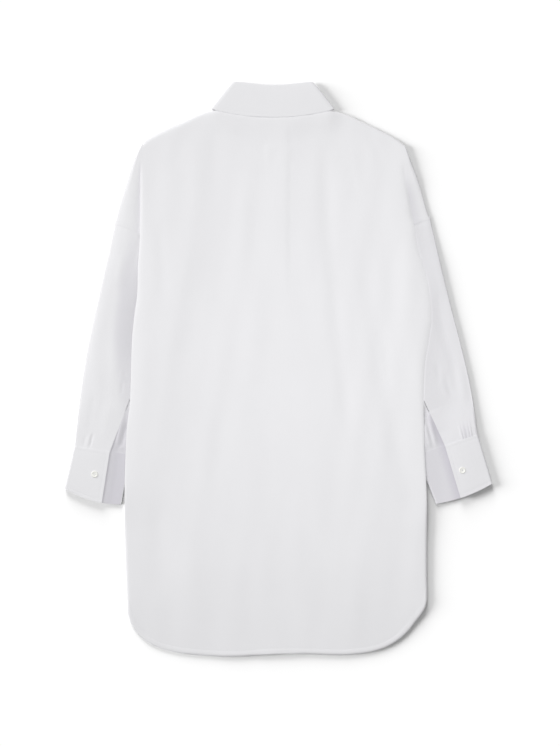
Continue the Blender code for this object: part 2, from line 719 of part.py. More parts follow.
def sleeve_overlap(hand, along, down):
    """The upper layer from the vent to the overarm: places across the sleeve, and heights.

    Beside the vent it stands clear of the underlap, and above the cuff it is gathered."""
    width = sleeve_width(hand, along)
    part = np.concatenate([np.linspace(*VENT_EDGE_COLUMNS), np.linspace(*GATHER_COLUMNS)])
    first = FOLD_CLEARANCE * sleeve_fold_radius(along) / width
    across = np.maximum(vent_across(hand, down) * part, first)
    cuff_level = CUFF_OVERLAP + CUFF_CROWN * np.sin(math.pi * part)
    level = mix(sleeve_upper_level(hand, along, across), cuff_level, ramp(down, *TO_CUFF_SPAN))
    clear = underlap_level(down) + VENT_LIFT * ramp(down, *VENT_LIFT_SPAN)
    short = np.clip(clear - level[:, :1], 0, None)
    from_vent = (1 - part) * vent_across(hand, down) * width
    level = level + short * np.exp(-((from_vent / VENT_LIFT_SPREAD) ** 2))
    ridges = gathers(part, VENTS[hand]["gathers"], UPPER_GATHERS)
    return across, level + GATHER_RISE * ridges * gather_growth(down)


def sleeve_underlap(hand, along, down):
    """The layer from the underarm to just past the vent: places across, and heights.

    Above the vent it meets the overlap's edge, so that the sleeve is closed there."""
    width = sleeve_width(hand, along)
    slit = VENT_SLIT * ramp(down, *VENT_SLIT_OPENS) * ramp(down, *VENT_SLIT_CLOSES)
    lap = VENT_LAP * ramp(down, *VENT_LAP_SPAN) - slit
    end = vent_across(hand, down) - lap / width
    radius = 0.5 * (underlap_level(down) - FLOOR_LEVEL)
    share = np.linspace(0, 1, SLEEVE_UNDERLAP_COLUMNS)
    across = mix(1 - radius / width, end, share)
    x, y = sleeve_plan(hand, along, across)
    beside = ramp(hand * (x - side(y, hand)), *GATHERS_BESIDE_BODY)
    ridges = gathers(share, VENTS[hand]["under"], UNDER_GATHERS) * beside
    level = underlap_level(down) + UNDER_GATHER_RISE * ridges * gather_growth(down)
    return across, np.where(down > 0, level, sleeve_upper_level(hand, along, across))


def make_sleeve(hand, finish, collection):
    """A sleeve: one sheet rolled into a flat tube, closed down to the vent and open beyond it.

    Each row runs from the vent's overlap over the upper layer to the overarm fold, back under
    the lower layer to the underarm fold, and over that to the underlap."""
    start = VENTS[hand]["start"]
    closed = np.linspace(0, start, SLEEVE_CLOSED_ROWS)
    opened = mix(start, 1, np.array(SLEEVE_OPEN_ROWS))
    along = np.concatenate([closed, opened])[:, None]
    down = np.clip((along - start) / (1 - start), 0, 1)
    over = sleeve_fold_radius(along)
    under = 0.5 * (underlap_level(down) - FLOOR_LEVEL)
    over_share, under_share = over / sleeve_width(hand, along), under / sleeve_width(hand, along)
    flat = np.linspace(0, 1, SLEEVE_LOWER_COLUMNS)
    lower = mix(FOLD_CLEARANCE * over_share, 1 - FOLD_CLEARANCE * under_share, flat)
    layers = [
        sleeve_overlap(hand, along, down),
        (FOLD_IN * over_share, FLOOR_LEVEL + over * (1 + FOLD_UP)),
        (lower, FLOOR_LEVEL),
        (1 - FOLD_IN * under_share, FLOOR_LEVEL + under * (1 - FOLD_UP)),
        sleeve_underlap(hand, along, down),
    ]
    grids = [grid_of(*sleeve_plan(hand, along, across), level) for across, level in layers]
    grid = np.concatenate(grids, axis=1)
    grid[:SLEEVE_CLOSED_ROWS, -1] = grid[:SLEEVE_CLOSED_ROWS, 0]
    cloth(f"sleeve_{HANDS[hand]}", [grid], WALL, finish, collection)


def cuff_plan(hand, across, down):
    """The plan of a cuff: from overarm (0) to underarm (1) and from its seam (0) to its edge."""
    seam_x, seam_y = sleeve_plan(hand, np.ones_like(across), across)
    (over_x, over_y), (under_x, under_y) = CUFFS[hand]["over_edge"], CUFFS[hand]["under_edge"]
    edge_x = mix(over_x, under_x, across)
    edge_y = mix(over_y, under_y, across) + CUFFS[hand]["bow"] * arch(across)
    down = mix(SEAM_GAP / CUFF_DEPTH, 1, down)
    return mix(seam_x, edge_x, down), mix(seam_y, edge_y, down)


def make_cuff(hand, finish, collection):
    """A cuff: a band rolled flat, its buttonhole end lapped over its button end."""
    down = np.linspace(0, 1, CUFF_ROWS)[:, None]
    lap_end = mix(VENTS[hand]["across_cuff"], CUFF_LAP_EDGE[hand], down)
    over = 0.5 * (CUFF_OVERLAP - CUFF_LOWER)
    under = 0.5 * (CUFF_UNDERLAP - CUFF_LOWER)
    over_fold = FOLD_CLEARANCE * over / CUFF_WIDTH
    under_fold = 1 - FOLD_CLEARANCE * under / CUFF_WIDTH
    outwards = np.linspace(1, 0, CUFF_OVER_COLUMNS)
    inwards = np.linspace(0, 1, CUFF_UNDER_COLUMNS)
    crown = CUFF_CROWN * np.sin(math.pi * outwards) * (1 - down)
    layers = [
        (mix(over_fold, lap_end, outwards), CUFF_OVERLAP + crown),
        (FOLD_IN * over / CUFF_WIDTH, CUFF_LOWER + over * (1 + FOLD_UP)),
        (np.linspace(over_fold, under_fold, CUFF_LOWER_COLUMNS), CUFF_LOWER),
        (1 - FOLD_IN * under / CUFF_WIDTH, CUFF_LOWER + under * (1 - FOLD_UP)),
        (mix(under_fold, lap_end - CUFF_LAP / CUFF_WIDTH, inwards), CUFF_UNDERLAP),
    ]
    grids = []
    for across, level in layers:
        across = across + np.zeros_like(down)
        grids.append(grid_of(*cuff_plan(hand, across, down), level))
    cloth(f"cuff_{HANDS[hand]}", [np.concatenate(grids, axis=1)], CUFF_WALL, finish, collection)


def collar_stations():
    """The collar's rows all the way round, from the right front by the back to the left front."""
    whole = {}
    for name, values in COLLAR.items():
        mirrored = -values if name.endswith("_x") else values
        whole[name] = np.concatenate([values[::-1], mirrored[1:]])[:, None]
    whole["middle"] = collar_middle(whole["seam_y"])
    return whole


def collar_points(section, end, rise):
    """Points round the collar on this section, which runs from the fold line to the end line."""
    stations = collar_stations()
    turn = np.radians(stations["turn"])
    to_x = stations[end + "_x"] - stations["fold_x"]
    to_y = stations[end + "_y"] - stations["fold_y"]
    share = section["share"] + section["distance"] / np.hypot(to_x, to_y)
    offset = RING_RADIUS + FALL_OFFSET * section["offset"]
    offset = offset + rise * section["share"] * (stations["turn"] < SIDE_TURN)
    out = offset * np.sin(turn)
    x = stations["middle"] + stations["fold_x"] + share * to_x + out * stations["out_x"]
    y = stations["fold_y"] + share * to_y + out * stations["out_y"]
    return grid_of(x, y, RING_MIDDLE + offset * np.cos(turn))


def make_fall(finish, collection):
    """The collar's fall, which rolls over the stand and ends in a point on each front."""
    fall = collar_points(FALL_SECTION, "edge", FALL_RISE)
    cloth("collar_fall", [fall], FALL_WALL, finish, collection)


def make_stand(finish, collection):
    """The stand: a band round the neck whose left end lies over its right one at the throat."""
    stand = collar_points(STAND_SECTION, "seam", 0)
    ends = {}
    for hand, rows in ((RIGHT, slice(STAND_END_ROWS)), (LEFT, slice(-STAND_END_ROWS, None))):
        near = stand[rows]
        at_end = ramp(hand * near[..., 0], *STAND_END_SPAN)
        near[..., 2] = mix(near[..., 2], STAND_ENDS[hand], at_end)
        end = near[0 if hand == RIGHT else -1].copy()
        end[:, 0] = -hand * STAND_OVERLAP
        end[:, 1] += THROAT_HEIGHT - COLLAR["seam_y"][-1] + STAND_END_RISE
        ends[hand] = end[None]
    whole = np.concatenate([ends[RIGHT], stand, ends[LEFT]])
    cloth("collar_stand", [whole], STAND_WALL, finish, collection)


def make_button(name, place, finish, collection):
    """A shirt button whose upper face is dished inside a rim, standing on its place."""
    out, up = BUTTON_SECTION["out"] * BUTTON_RADIUS, BUTTON_SECTION["up"] * BUTTON_DEPTH
    shape = bmesh.new()
    section = [shape.verts.new(point) for point in zip(out, np.zeros_like(out), up)]
    for first, second in zip(section, section[1:]):
        shape.edges.new((first, second))
    mesh = bpy.data.meshes.new(name)
    shape.to_mesh(mesh)
    shape.free()
    button = add_object(name, mesh, finish, collection)
    button.location = place
    turned = button.modifiers.new("turned", "SCREW")
    turned.steps = BUTTON_STEPS
    turned.render_steps = BUTTON_STEPS
    turned.use_merge_vertices = True
    turned.merge_threshold = 1e-5
    turned.use_smooth_shade = True


def make_buttons(finish, collection):
    """The stand's button and the front's lie under the bands; each cuff's lies on its lap."""
    collar_place = (0, THROAT_HEIGHT + COLLAR_BUTTON_RISE, 0)
    make_button("collar_button", collar_place, finish, collection)
    for number in range(FRONT_BUTTONS):
        y = THROAT_HEIGHT - FIRST_BUTTON_DROP - number * BUTTON_SPACING
        make_button(f"front_button_{number + 1}", (0, y, 0), finish, collection)
    cuff_top = CUFF_OVERLAP + CUFF_CROWN + CUFF_WALL / 2 + BACK_CLEARANCE
    for hand, (x, y) in CUFF_BUTTONS.items():
        make_button(f"cuff_button_{HANDS[hand]}", (x, y, cuff_top), finish, collection)


def main():
    for thing in list(bpy.data.objects):
        bpy.data.objects.remove(thing)
    collection = bpy.data.collections.new(COLLECTION)
    bpy.context.scene.collection.children.link(collection)
    poplin = material("white_poplin", (0.80, 0.80, 0.82), 0.9)
    pearl = material("pearl_button", (0.83, 0.83, 0.80), 0.35)
    make_back(poplin, collection)
    for hand in HANDS:
        make_front(hand, poplin, collection)
        make_sleeve(hand, poplin, collection)
        make_cuff(hand, poplin, collection)
    make_placket(poplin, collection)
    make_fall(poplin, collection)
    make_stand(poplin, collection)
    make_buttons(pearl, collection)


main()
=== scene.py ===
"""The looks of a long-sleeved shirt dress in white cotton poplin, laid face down with its back up.

Metres, +Z up. The surface is z = 0, the neck points to +Y and the wearer's left is at -X. Every
panel is a thin sheet on the form of its solid: a height over the plan, or a strip rolled round a
tube or a neck, worked out on a grid and given the wall of the cloth. Stitches, buttonholes and
buttons are meshes of their own.
"""

import logging
import math
from collections.abc import Callable, Sequence
from dataclasses import dataclass, field
from enum import Enum
from typing import TypeVar

import bmesh
import bpy
import numpy as np
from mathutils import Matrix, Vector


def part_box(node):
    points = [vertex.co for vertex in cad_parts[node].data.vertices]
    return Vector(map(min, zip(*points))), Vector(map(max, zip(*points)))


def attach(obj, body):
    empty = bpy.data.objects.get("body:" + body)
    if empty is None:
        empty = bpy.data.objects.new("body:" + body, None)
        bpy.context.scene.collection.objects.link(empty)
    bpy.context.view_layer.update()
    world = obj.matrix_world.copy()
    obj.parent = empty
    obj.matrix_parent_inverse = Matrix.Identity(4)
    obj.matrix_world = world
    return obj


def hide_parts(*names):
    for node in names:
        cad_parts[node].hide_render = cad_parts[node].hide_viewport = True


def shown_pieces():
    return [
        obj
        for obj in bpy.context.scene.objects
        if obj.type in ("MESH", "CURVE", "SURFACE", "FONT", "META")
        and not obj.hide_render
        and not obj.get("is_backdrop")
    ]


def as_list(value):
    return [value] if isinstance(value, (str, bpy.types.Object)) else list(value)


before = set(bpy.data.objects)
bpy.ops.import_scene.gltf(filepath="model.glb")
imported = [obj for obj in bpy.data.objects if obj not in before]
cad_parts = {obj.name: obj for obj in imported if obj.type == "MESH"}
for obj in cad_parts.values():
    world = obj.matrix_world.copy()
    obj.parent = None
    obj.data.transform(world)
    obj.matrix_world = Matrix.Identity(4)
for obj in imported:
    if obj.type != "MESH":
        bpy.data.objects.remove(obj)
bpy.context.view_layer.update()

Array = np.ndarray
Surface = Callable[[Array, Array], Array]
Pair = tuple[float, float]
Triple = tuple[float, float, float]
Value = TypeVar("Value")
Object, Material, Mesh = bpy.types.Object, bpy.types.Material, bpy.types.Mesh
Node, Socket = bpy.types.Node, bpy.types.NodeSocket
log = logging.getLogger("shirt_dress")
BODY = "root"


class Hand(Enum):
    """The wearer's left and right, as the sign of x."""

    LEFT = -1
    RIGHT = 1

    @property
    def label(self) -> str:
        """The word used in names and in tables."""
        return self.name.lower()


class Held(Enum):
    """How a sheet of cloth lies."""

    LAID = "laid"
    FOLDED = "folded"


class Slot(Enum):
    """The finishes that the record names."""

    POPLIN = "white_poplin"
    PEARL = "pearl_button"


# ---- tables and curves


class Table:
    """Rows of numbers with named columns, read as smooth curves over the first column."""

    def __init__(self, names: str, rows: str) -> None:
        """Reads the columns' names, and the rows with a semicolon between them."""
        numbers = np.array([row.split() for row in rows.split(";")], dtype=float)
        self.columns = dict(zip(names.split(), numbers.T))

    def __getitem__(self, name: str) -> Array:
        """A column's values."""
        return self.columns[name]

    def curve(self, at: Array, name: str) -> Array:
        """The smooth curve of a column over the first one, at these places."""
        return smooth(at, next(iter(self.columns.values())), self[name])


def by_hand(left: Value, right: Value) -> dict[Hand, Value]:
    """A dataclass field with a value for each hand."""
    return field(default_factory=lambda: {Hand.LEFT: left, Hand.RIGHT: right})


def mix(a: Array, b: Array, share: Array) -> Array:
    """From a (share 0) to b (share 1) in a straight line."""
    return a + (b - a) * share


def ramp(x: Array, start: float, end: float) -> Array:
    """From 0 at start to 1 at end, level at both: 3 t^2 - 2 t^3."""
    part = np.clip((x - start) / (end - start), 0, 1)
    return part * part * (3 - 2 * part)


def roll(part: Array) -> Array:
    """A quarter of an ellipse, from 0 at the edge of the cloth to 1: sqrt(1 - (1 - t)^2)."""
    return np.sqrt(1 - (1 - np.clip(part, 0, 1)) ** 2)


def arch(part: Array) -> Array:
    """A parabola from 0 at both ends to 1 in the middle: 4 t (1 - t)."""
    return 4 * part * (1 - part)


def bell(distance: Array, width: float) -> Array:
    """A bump of height 1 that fades to both sides: exp(-(d / w)^2)."""
    return np.exp(-((distance / width) ** 2))


def soft_max(*levels: Array) -> Array:
    """The highest of several heights, the corners between them rounded: a sixth-power mean."""
    return sum(np.maximum(level, 0) ** 6 for level in levels) ** (1 / 6)


def smooth(x: Array, xs: Array, ys: Array) -> Array:
    """A smooth curve through points that never overshoots them, flat beyond its ends.

    Between two points it is a cubic whose slopes are the harmonic means of the slopes beside
    each point, or 0 where the curve turns.

    Args:
        x: where the curve is read.
        xs: the points' places, in any order.
        ys: the points' values.

    Returns:
        The curve's values at x.
    """
    order = np.argsort(xs)
    xs, ys = xs[order], ys[order]
    steps = np.diff(xs)
    rates = np.diff(ys) / steps
    slopes = np.concatenate([rates[:1], np.zeros(len(xs) - 2), rates[-1:]])
    same_way = rates[:-1] * rates[1:] > 0
    before, after = rates[:-1][same_way], rates[1:][same_way]
    slopes[1:-1][same_way] = 2 * before * after / (before + after)
    place = np.clip(np.searchsorted(xs, x, side="right") - 1, 0, len(xs) - 2)
    part = np.clip((x - xs[place]) / steps[place], 0, 1)
    start, end = ys[place], ys[place + 1]
    leaving = slopes[place] * steps[place] * part * (1 - part) ** 2
    arriving = slopes[place + 1] * steps[place] * part * part * (1 - part)
    return start + (end - start) * part * part * (3 - 2 * part) + leaving - arriving


def lines(length: float, step: float, start: Sequence[float], end: Sequence[float]) -> Array:
    """Places of grid lines from 0 to 1: close together at both ends and even between.

    Args:
        length: the real length of the grid.
        step: the even step between.
        start: distances of the close lines from the start, the first 0.
        end: distances of the close lines from the end, the last 0.

    Returns:
        The places as shares of the length.
    """
    first, last = start[-1], length - end[0]
    count = max(2, round((last - first) / step) + 1)
    even = np.linspace(first, last, count)
    places = [np.array(start[:-1]), even, length - np.array(end[1:])]
    return np.concatenate(places) / length


def grid_of(x: Array, y: Array, z: Array) -> Array:
    """A grid of points from coordinates that may be given for rows or columns only."""
    return np.stack(np.broadcast_arrays(x, y, z), axis=-1)


def run_along(grid: Array, axis: int) -> Array:
    """The length run from the first point to each, along an axis of a grid of points."""
    steps = np.diff(grid, axis=axis, prepend=grid.take([0], axis=axis))
    return np.cumsum(np.linalg.norm(steps, axis=-1), axis=axis)


def unit(vectors: Array) -> Array:
    """Vectors scaled to length 1."""
    return vectors / np.maximum(np.linalg.norm(vectors, axis=-1, keepdims=True), 1e-12)


def upwards(vectors: Array) -> Array:
    """Vectors scaled to length 1 and turned so that none looks down."""
    vectors = unit(vectors)
    return vectors * np.where(vectors[..., 2:] < 0, -1.0, 1.0)


STEP = 1e-4  # half the distance over which a slope is measured


def on_surface(surface: Surface, u: Array, v: Array) -> tuple[Array, Array]:
    """Points of a surface and its upward unit normals, the cross product of its two slopes."""
    along_u = surface(u + STEP, v) - surface(u - STEP, v)
    along_v = surface(u, v + STEP) - surface(u, v - STEP)
    return surface(u, v), upwards(np.cross(along_u, along_v))


def inside_edge(edge: Array, inner: Array, inset: float) -> tuple[Array, Array]:
    """A path inside an edge, towards points further in, and the cloth's upward normals on it."""
    way = unit(inner - edge)
    path = edge + way * inset
    return path, upwards(np.cross(unit(np.gradient(path, axis=0)), way))


# ---- sizes of the cloth and its lay


@dataclass(frozen=True)
class ClothSizes:
    """Walls of the cloth and the heights of the middle of each layer."""

    wall: float = 0.0006
    doubled_wall: float = 0.0011
    cuff_wall: float = 0.0013
    fall_wall: float = 0.0013
    stand_wall: float = 0.0011
    floor_level: float = 0.00036
    hidden_sleeve: float = 0.0029
    body_lift: float = 0.0036
    right_lift: float = 0.001
    collar_lift: float = 0.0023
    button_band_lift: float = 0.0038
    placket_lift: float = 0.00195
    lift_at_hem: Pair = (0.0022, 0.0003)
    band_over_placket: float = 0.00095
    back_over_stand: float = 0.0044
    layer_step: float = 0.0007
    hem_rise: float = 0.00025
    hem_step: float = 0.0007


CLOTH = ClothSizes()


@dataclass(frozen=True)
class Outline:
    """The garment's outline in plan: the body's sides, the hem, the shoulders and the drops."""

    sides: Table = Table(
        "height left right",
        """.36 -.216 .1992; .335 -.22 .1992; .303 -.22 .2016; .275 -.2203 .208; .25 -.2206 .2125;
        .231 -.2209 .2165; .196 -.2222 .2216; .165 -.2245 .2312; .125 -.2253 .2408;
        .082 -.2307 .244; .045 -.2341 .2392; .005 -.2355 .2336; -.049 -.2371 .2318;
        -.097 -.2424 .2325; -.129 -.244 .2331; -.185 -.2456 .236; -.241 -.2456 .2371;
        -.305 -.244 .2371; -.391 -.2403 .2374""",
    )
    hem: Table = Table(
        "across height",
        """-.2403 -.3908; -.2352 -.4055; -.2261 -.4201; -.2077 -.4367; -.1802 -.4486;
        -.1434 -.4551; -.0792 -.4591; .0136 -.454; .1 -.4564; .1411 -.4527; .1656 -.4463;
        .1901 -.4332; .2066 -.4185; .2184 -.4035; .2334 -.3825; .2374 -.3692""",
    )
    top: Table = Table(
        "across height",
        """-.216 .3604; -.212 .3652; -.1896 .378; -.1576 .3924; -.1112 .4111; -.0808 .4165;
        -.0456 .416; -.0088 .4155; .0296 .416; .0648 .4165; .0936 .4111; .14 .3924; .1704 .378;
        .1928 .3652; .1992 .3604""",
    )
    drop: Table = Table(
        "height left right",
        """.3604 -.216 .1992; .3524 -.2216 .204; .3268 -.2328 .2136; .3012 -.2408 .2232;
        .2756 -.2488 .2304; .25 -.256 .2376; .2308 -.2608 .2446""",
    )
    sleeve_reach: Table = Table(
        "height left right",
        """.239 -.2203 .2096; .195 -.188 .176; .13 -.1496 .1384; .047 -.1768 .1665;
        -.033 -.2024 .1895; -.097 -.2216 .2056; -.139 -.2376 .2216; -.215 -.252 .2526""",
    )

    def side(self, y: Array, hand: Hand) -> Array:
        """The body's side at these heights."""
        return self.sides.curve(y, hand.label)

    def hem_height(self, x: Array) -> Array:
        """The hem's height across the body."""
        return self.hem.curve(x, "height")

    def hem_slope(self, x: Array) -> Array:
        """The hem's slope: the difference of its heights to both sides of a place."""
        return (self.hem_height(x + STEP) - self.hem_height(x - STEP)) / (2 * STEP)

    def top_height(self, x: Array) -> Array:
        """The height of the shoulders and of the back of the neck."""
        return self.top.curve(x, "height")

    def drop_contour(self, y: Array, hand: Hand) -> Array:
        """The outer contour of a dropped shoulder."""
        return self.drop.curve(y, hand.label)

    def from_hem(self, x: Array, y: Array) -> Array:
        """The distance from the hem: the height over it, made square to its slope near to it."""
        above = y - self.hem_height(x)
        return above / np.sqrt(1 + self.hem_slope(x) ** 2 * ramp(above, 0.08, 0.02))


OUTLINE = Outline()


class Creases(Table):
    """Soft ridges and troughs of laid cloth, each along a bowed line.

    Across its line a crease is a bell; along it, the bell fades in and out over a share of the
    line's length. A row holds its start and end in plan, its bow, its half width, its rise (a
    trough's is negative) and the share over which its ends fade.
    """

    def __init__(self, rows: str) -> None:
        """Reads the rows."""
        super().__init__("start_x start_y end_x end_y bow width rise fade", rows)

    def height(self, x: Array, y: Array) -> Array:
        """The sum of all the creases.

        Args:
            x: places across.
            y: places along the body.

        Returns:
            The height that the creases add there.
        """
        total = np.zeros(np.broadcast(x, y).shape)
        for start_x, start_y, end_x, end_y, bow, width, rise, fade in zip(*self.columns.values()):
            length = math.hypot(end_x - start_x, end_y - start_y)
            way_x, way_y = (end_x - start_x) / length, (end_y - start_y) / length
            along = ((x - start_x) * way_x + (y - start_y) * way_y) / length
            off = (x - start_x) * way_y - (y - start_y) * way_x - bow * arch(along)
            ends = ramp(along, 0, fade) * ramp(along, 1, 1 - fade)
            total = total + rise * ends * bell(off, width)
        return total


@dataclass(frozen=True)
class Unevenness:
    """The slight unevenness of ironed cloth: waves drawn from a seed, most of them lengthwise."""

    seed: int
    height: float = 0.00012
    shortest: float = 0.03
    longest: float = 0.1
    waves: int = 16

    def at(self, x: Array, y: Array) -> Array:
        """The height at each place: the mean of sines whose directions keep near to across."""
        draw = np.random.default_rng(self.seed)
        total = np.zeros(np.broadcast(x, y).shape)
        for _ in range(self.waves):
            turn, start = draw.normal(0, 0.22), draw.uniform(0, 2 * math.pi)
            wave = 2 * math.pi / draw.uniform(self.shortest, self.longest)
            total = total + np.sin(wave * (x * math.cos(turn) + y * math.sin(turn)) + start)
        return self.height * total * math.sqrt(2 / self.waves)


@dataclass(frozen=True)
class Lay:
    """How the layers of the body lie on each other."""

    outline: Outline = OUTLINE
    sleeves_from: Pair = (0.278, 0.226)
    sleeves_to: Pair = (-0.295, -0.2)
    lift_spread: float = 0.05
    lift_margin: float = 0.014
    collar_down: Pair = (0.255, 0.312)
    collar_out: Pair = (0.15, 0.108)
    band_half_width: float = 0.015
    band_spread: float = 0.035
    band_margin: float = 0.001
    band_from_neck: Pair = (0.378, 0.352)
    loft: float = 0.0059
    shoulder_loft: float = 0.0042
    shoulder_span: Pair = (0.4, 0.235)
    edge_loft: Pair = (0.002, 0.0034)
    hem_loft: float = 0.0042
    hem_reach: float = 0.12
    hem_span: float = 0.15
    side_span: float = 0.11
    side_from: Pair = (-0.18, -0.3)
    apron: float = 0.0062
    apron_reach: float = 0.08
    apron_out: Pair = (0.14, 0.088)
    under_fall: Pair = (-0.0012, 0.0002)
    side_fold: Pair = (0.335, 0.275)
    drop_fold: Pair = (0.325, 0.265)
    neck_slope: float = 0.9
    hem_roll: float = 0.004
    top_roll: float = 0.007
    clearance: float = 0.0002
    collar_middle: float = -0.0088
    hem_band: Pair = (-0.415, -0.335)
    hem_turned: Pair = (0.0115, 0.0085)
    side_power: dict[Hand, float] = by_hand(5.0, 4.0)
    hem_power: float = 4.0
    right_fold: float = 0.0047
    right_fold_from: Pair = (0.338, 0.296)
    right_fold_to: Pair = (0.18, 0.23)
    left_fold: float = 0.0055
    left_fold_to: Pair = (-0.3, -0.2)
    band_edge_rise: float = 0.0005
    band_edge_width: float = 0.0016
    band_edge_fade: float = 0.06
    band_edge_span: tuple[float, float, float, float] = (0.398, 0.372, 0.18, 0.085)
    side_rolls: Table = Table(
        "height left right",
        """.36 .01 .014; .29 .01 .014; .24 .011 .022; .165 .012 .03; .105 .014 .03;
        .045 .014 .026; 0 .014 .018; -.08 .012 .009; -.18 .008 .005; -.39 .006 .0045""",
    )
    sleeve_rise: Table = Table(
        "height left left_rise right right_rise",
        """.4 -.121 .0004 .17 0; .35 -.12 .0017 .174 0; .27 -.117 .0025 .18 .0008;
        .21 -.12 .0026 .1864 .0014; .143 -.133 .0026 .194 .0016; .079 -.144 .0022 .199 .0016;
        .015 -.1592 .0018 .206 .0014; -.049 -.164 .0017 .212 .001; -.113 -.1736 .0014 .216 .0006;
        -.177 -.1848 .0009 .218 .0002; -.25 -.196 0 .218 0""",
    )
    rise_width: dict[Hand, float] = by_hand(0.023, 0.019)
    back_creases: Creases = Creases(
        """-.19 .246 -.183 .098 0 .01 -.0007 .3; .0712 .392 .116 -.12 .007 .0125 -.0009 .16;
        .124 .25 .216 -.25 .004 .017 -.0011 .25; .14 .396 .169 .32 0 .008 -.0004 .35;
        .118 .372 .135 .27 .002 .007 .0003 .35; .123 -.23 .123 -.452 .002 .017 .0005 .35;
        .226 -.2 .23 -.43 .002 .03 .0017 .25; -.24 -.23 -.236 -.45 0 .028 .0011 .3;
        -.219 .31 -.247 -.22 0 .0115 -.0011 .18; -.208 .08 -.216 -.11 .002 .015 .0006 .35;
        -.193 -.2 -.19 -.38 -.003 .016 -.0008 .3; -.145 -.28 -.11 -.42 .003 .016 .0004 .35;
        -.05 .33 -.056 .12 .003 .012 .0003 .35; -.02 .11 -.026 -.16 -.004 .018 -.0004 .35;
        .042 -.14 .046 -.4 -.003 .016 -.0004 .35; -.064 -.26 -.056 -.44 .002 .015 .0004 .35;
        -.15 .385 -.17 .3 .002 .012 -.0005 .35; -.09 -.05 -.105 -.22 .003 .014 -.0003 .35;
        .046 .25 .056 .06 .003 .011 .0003 .35"""
    )
    uneven: Unevenness = Unevenness(seed=4, height=0.00014)

    def band_lift(self, y: Array, full: float, at_hem: float) -> Array:
        """How far a band is lifted: full over the buttons, lower at the hem."""
        return mix(at_hem, full, ramp(y, *self.hem_band))

    def turned(self, x: Array, y: Array) -> Array:
        """1 where the hem's turned-in allowance doubles the cloth, 0 above it."""
        return ramp(self.outline.from_hem(x, y), *self.hem_turned)

    def sleeve_lift(self, x: Array, y: Array) -> Array:
        """1 over the hidden part of a sleeve, coming down to 0 beside and beyond it.

        Args:
            x: places across.
            y: places along the body.

        Returns:
            The share of the full lift.
        """
        along = ramp(y, *self.sleeves_from) * ramp(y, *self.sleeves_to)
        lifts = []
        for hand in Hand:
            reach = hand.value * self.outline.sleeve_reach.curve(y, hand.label)
            start, end = reach - self.lift_spread, reach - self.lift_margin
            lifts.append(ramp(hand.value * x, start, end))
        return along * np.maximum(*lifts)

    def front(self, x: Array, y: Array, band_lift: Array) -> Array:
        """The height of a front: over the sleeves, the points of the collar and the bands.

        Args:
            x: places across.
            y: places along the body.
            band_lift: how far its middle edge is lifted.

        Returns:
            The height of the middle of the cloth.
        """
        half = self.band_half_width
        band = ramp(np.abs(x), half + self.band_spread, half + self.band_margin)
        collar = ramp(y, *self.collar_down) * ramp(np.abs(x), *self.collar_out)
        from_right = self.outline.side(y, Hand.RIGHT) - x
        body_lift = CLOTH.body_lift + CLOTH.right_lift * ramp(from_right, 0.026, 0.006)
        sleeves = body_lift * self.sleeve_lift(x, y)
        return CLOTH.floor_level + soft_max(sleeves, CLOTH.collar_lift * collar, band_lift * band)

    def side_roll(self, y: Array, hand: Hand) -> Array:
        """The width over which a side of the body rolls over."""
        return self.side_rolls.curve(y, hand.label)

    def band_edge(self, x: Array, y: Array) -> Array:
        """The edge of the bands as it shows through: a small step down at their right side."""
        start, full, fading, end = self.band_edge_span
        shown = ramp(y, start, full) * ramp(y, end, fading)
        off = x - self.band_half_width
        step = ramp(off, self.band_edge_width, -self.band_edge_width)
        fade = ramp(off, -self.band_edge_fade, -self.band_edge_width)
        return self.band_edge_rise * shown * step * fade

    def over_sleeves(self, x: Array, y: Array) -> Array:
        """How far the back is lifted over the sleeves, with a soft slope towards the middle."""
        total = 0.0
        for hand in Hand:
            line = self.sleeve_rise.curve(y, hand.label)
            rise = self.sleeve_rise.curve(y, hand.label + "_rise")
            width = self.rise_width[hand]
            total = total + rise * ramp(hand.value * (x - line), -width, width)
        return total

    def base(self, x: Array, y: Array) -> Array:
        """The back's loft: lower towards the shoulders, the hem and the sides below the cuffs.

        Args:
            x: places across.
            y: places along the body.

        Returns:
            The height without sleeves, creases and rolled edges.
        """
        out = self.outline
        high = mix(self.shoulder_loft, self.loft, ramp(y, *self.shoulder_span))
        from_side = np.minimum(x - out.side(y, Hand.LEFT), out.side(y, Hand.RIGHT) - x)
        free = ramp(y, *self.side_from)
        inwards = mix(1.0, ramp(from_side, -0.02, self.side_span), free)
        lengthwise = ramp(out.from_hem(x, y), -0.03, self.hem_span)
        edge = mix(*self.edge_loft, ramp(x, -0.2, 0.2))
        hem = mix(edge, self.hem_loft, bell(x, self.hem_reach))
        return mix(mix(hem, edge, lengthwise), high, inwards * lengthwise)

    def fall_edge(self, x: Array) -> Array:
        """The height in plan of the collar's lower edge."""
        back, half = COLLAR.half["turn"] < 90, COLLAR.half
        return smooth(np.abs(x - self.collar_middle), half["edge_x"][back], half["edge_y"][back])

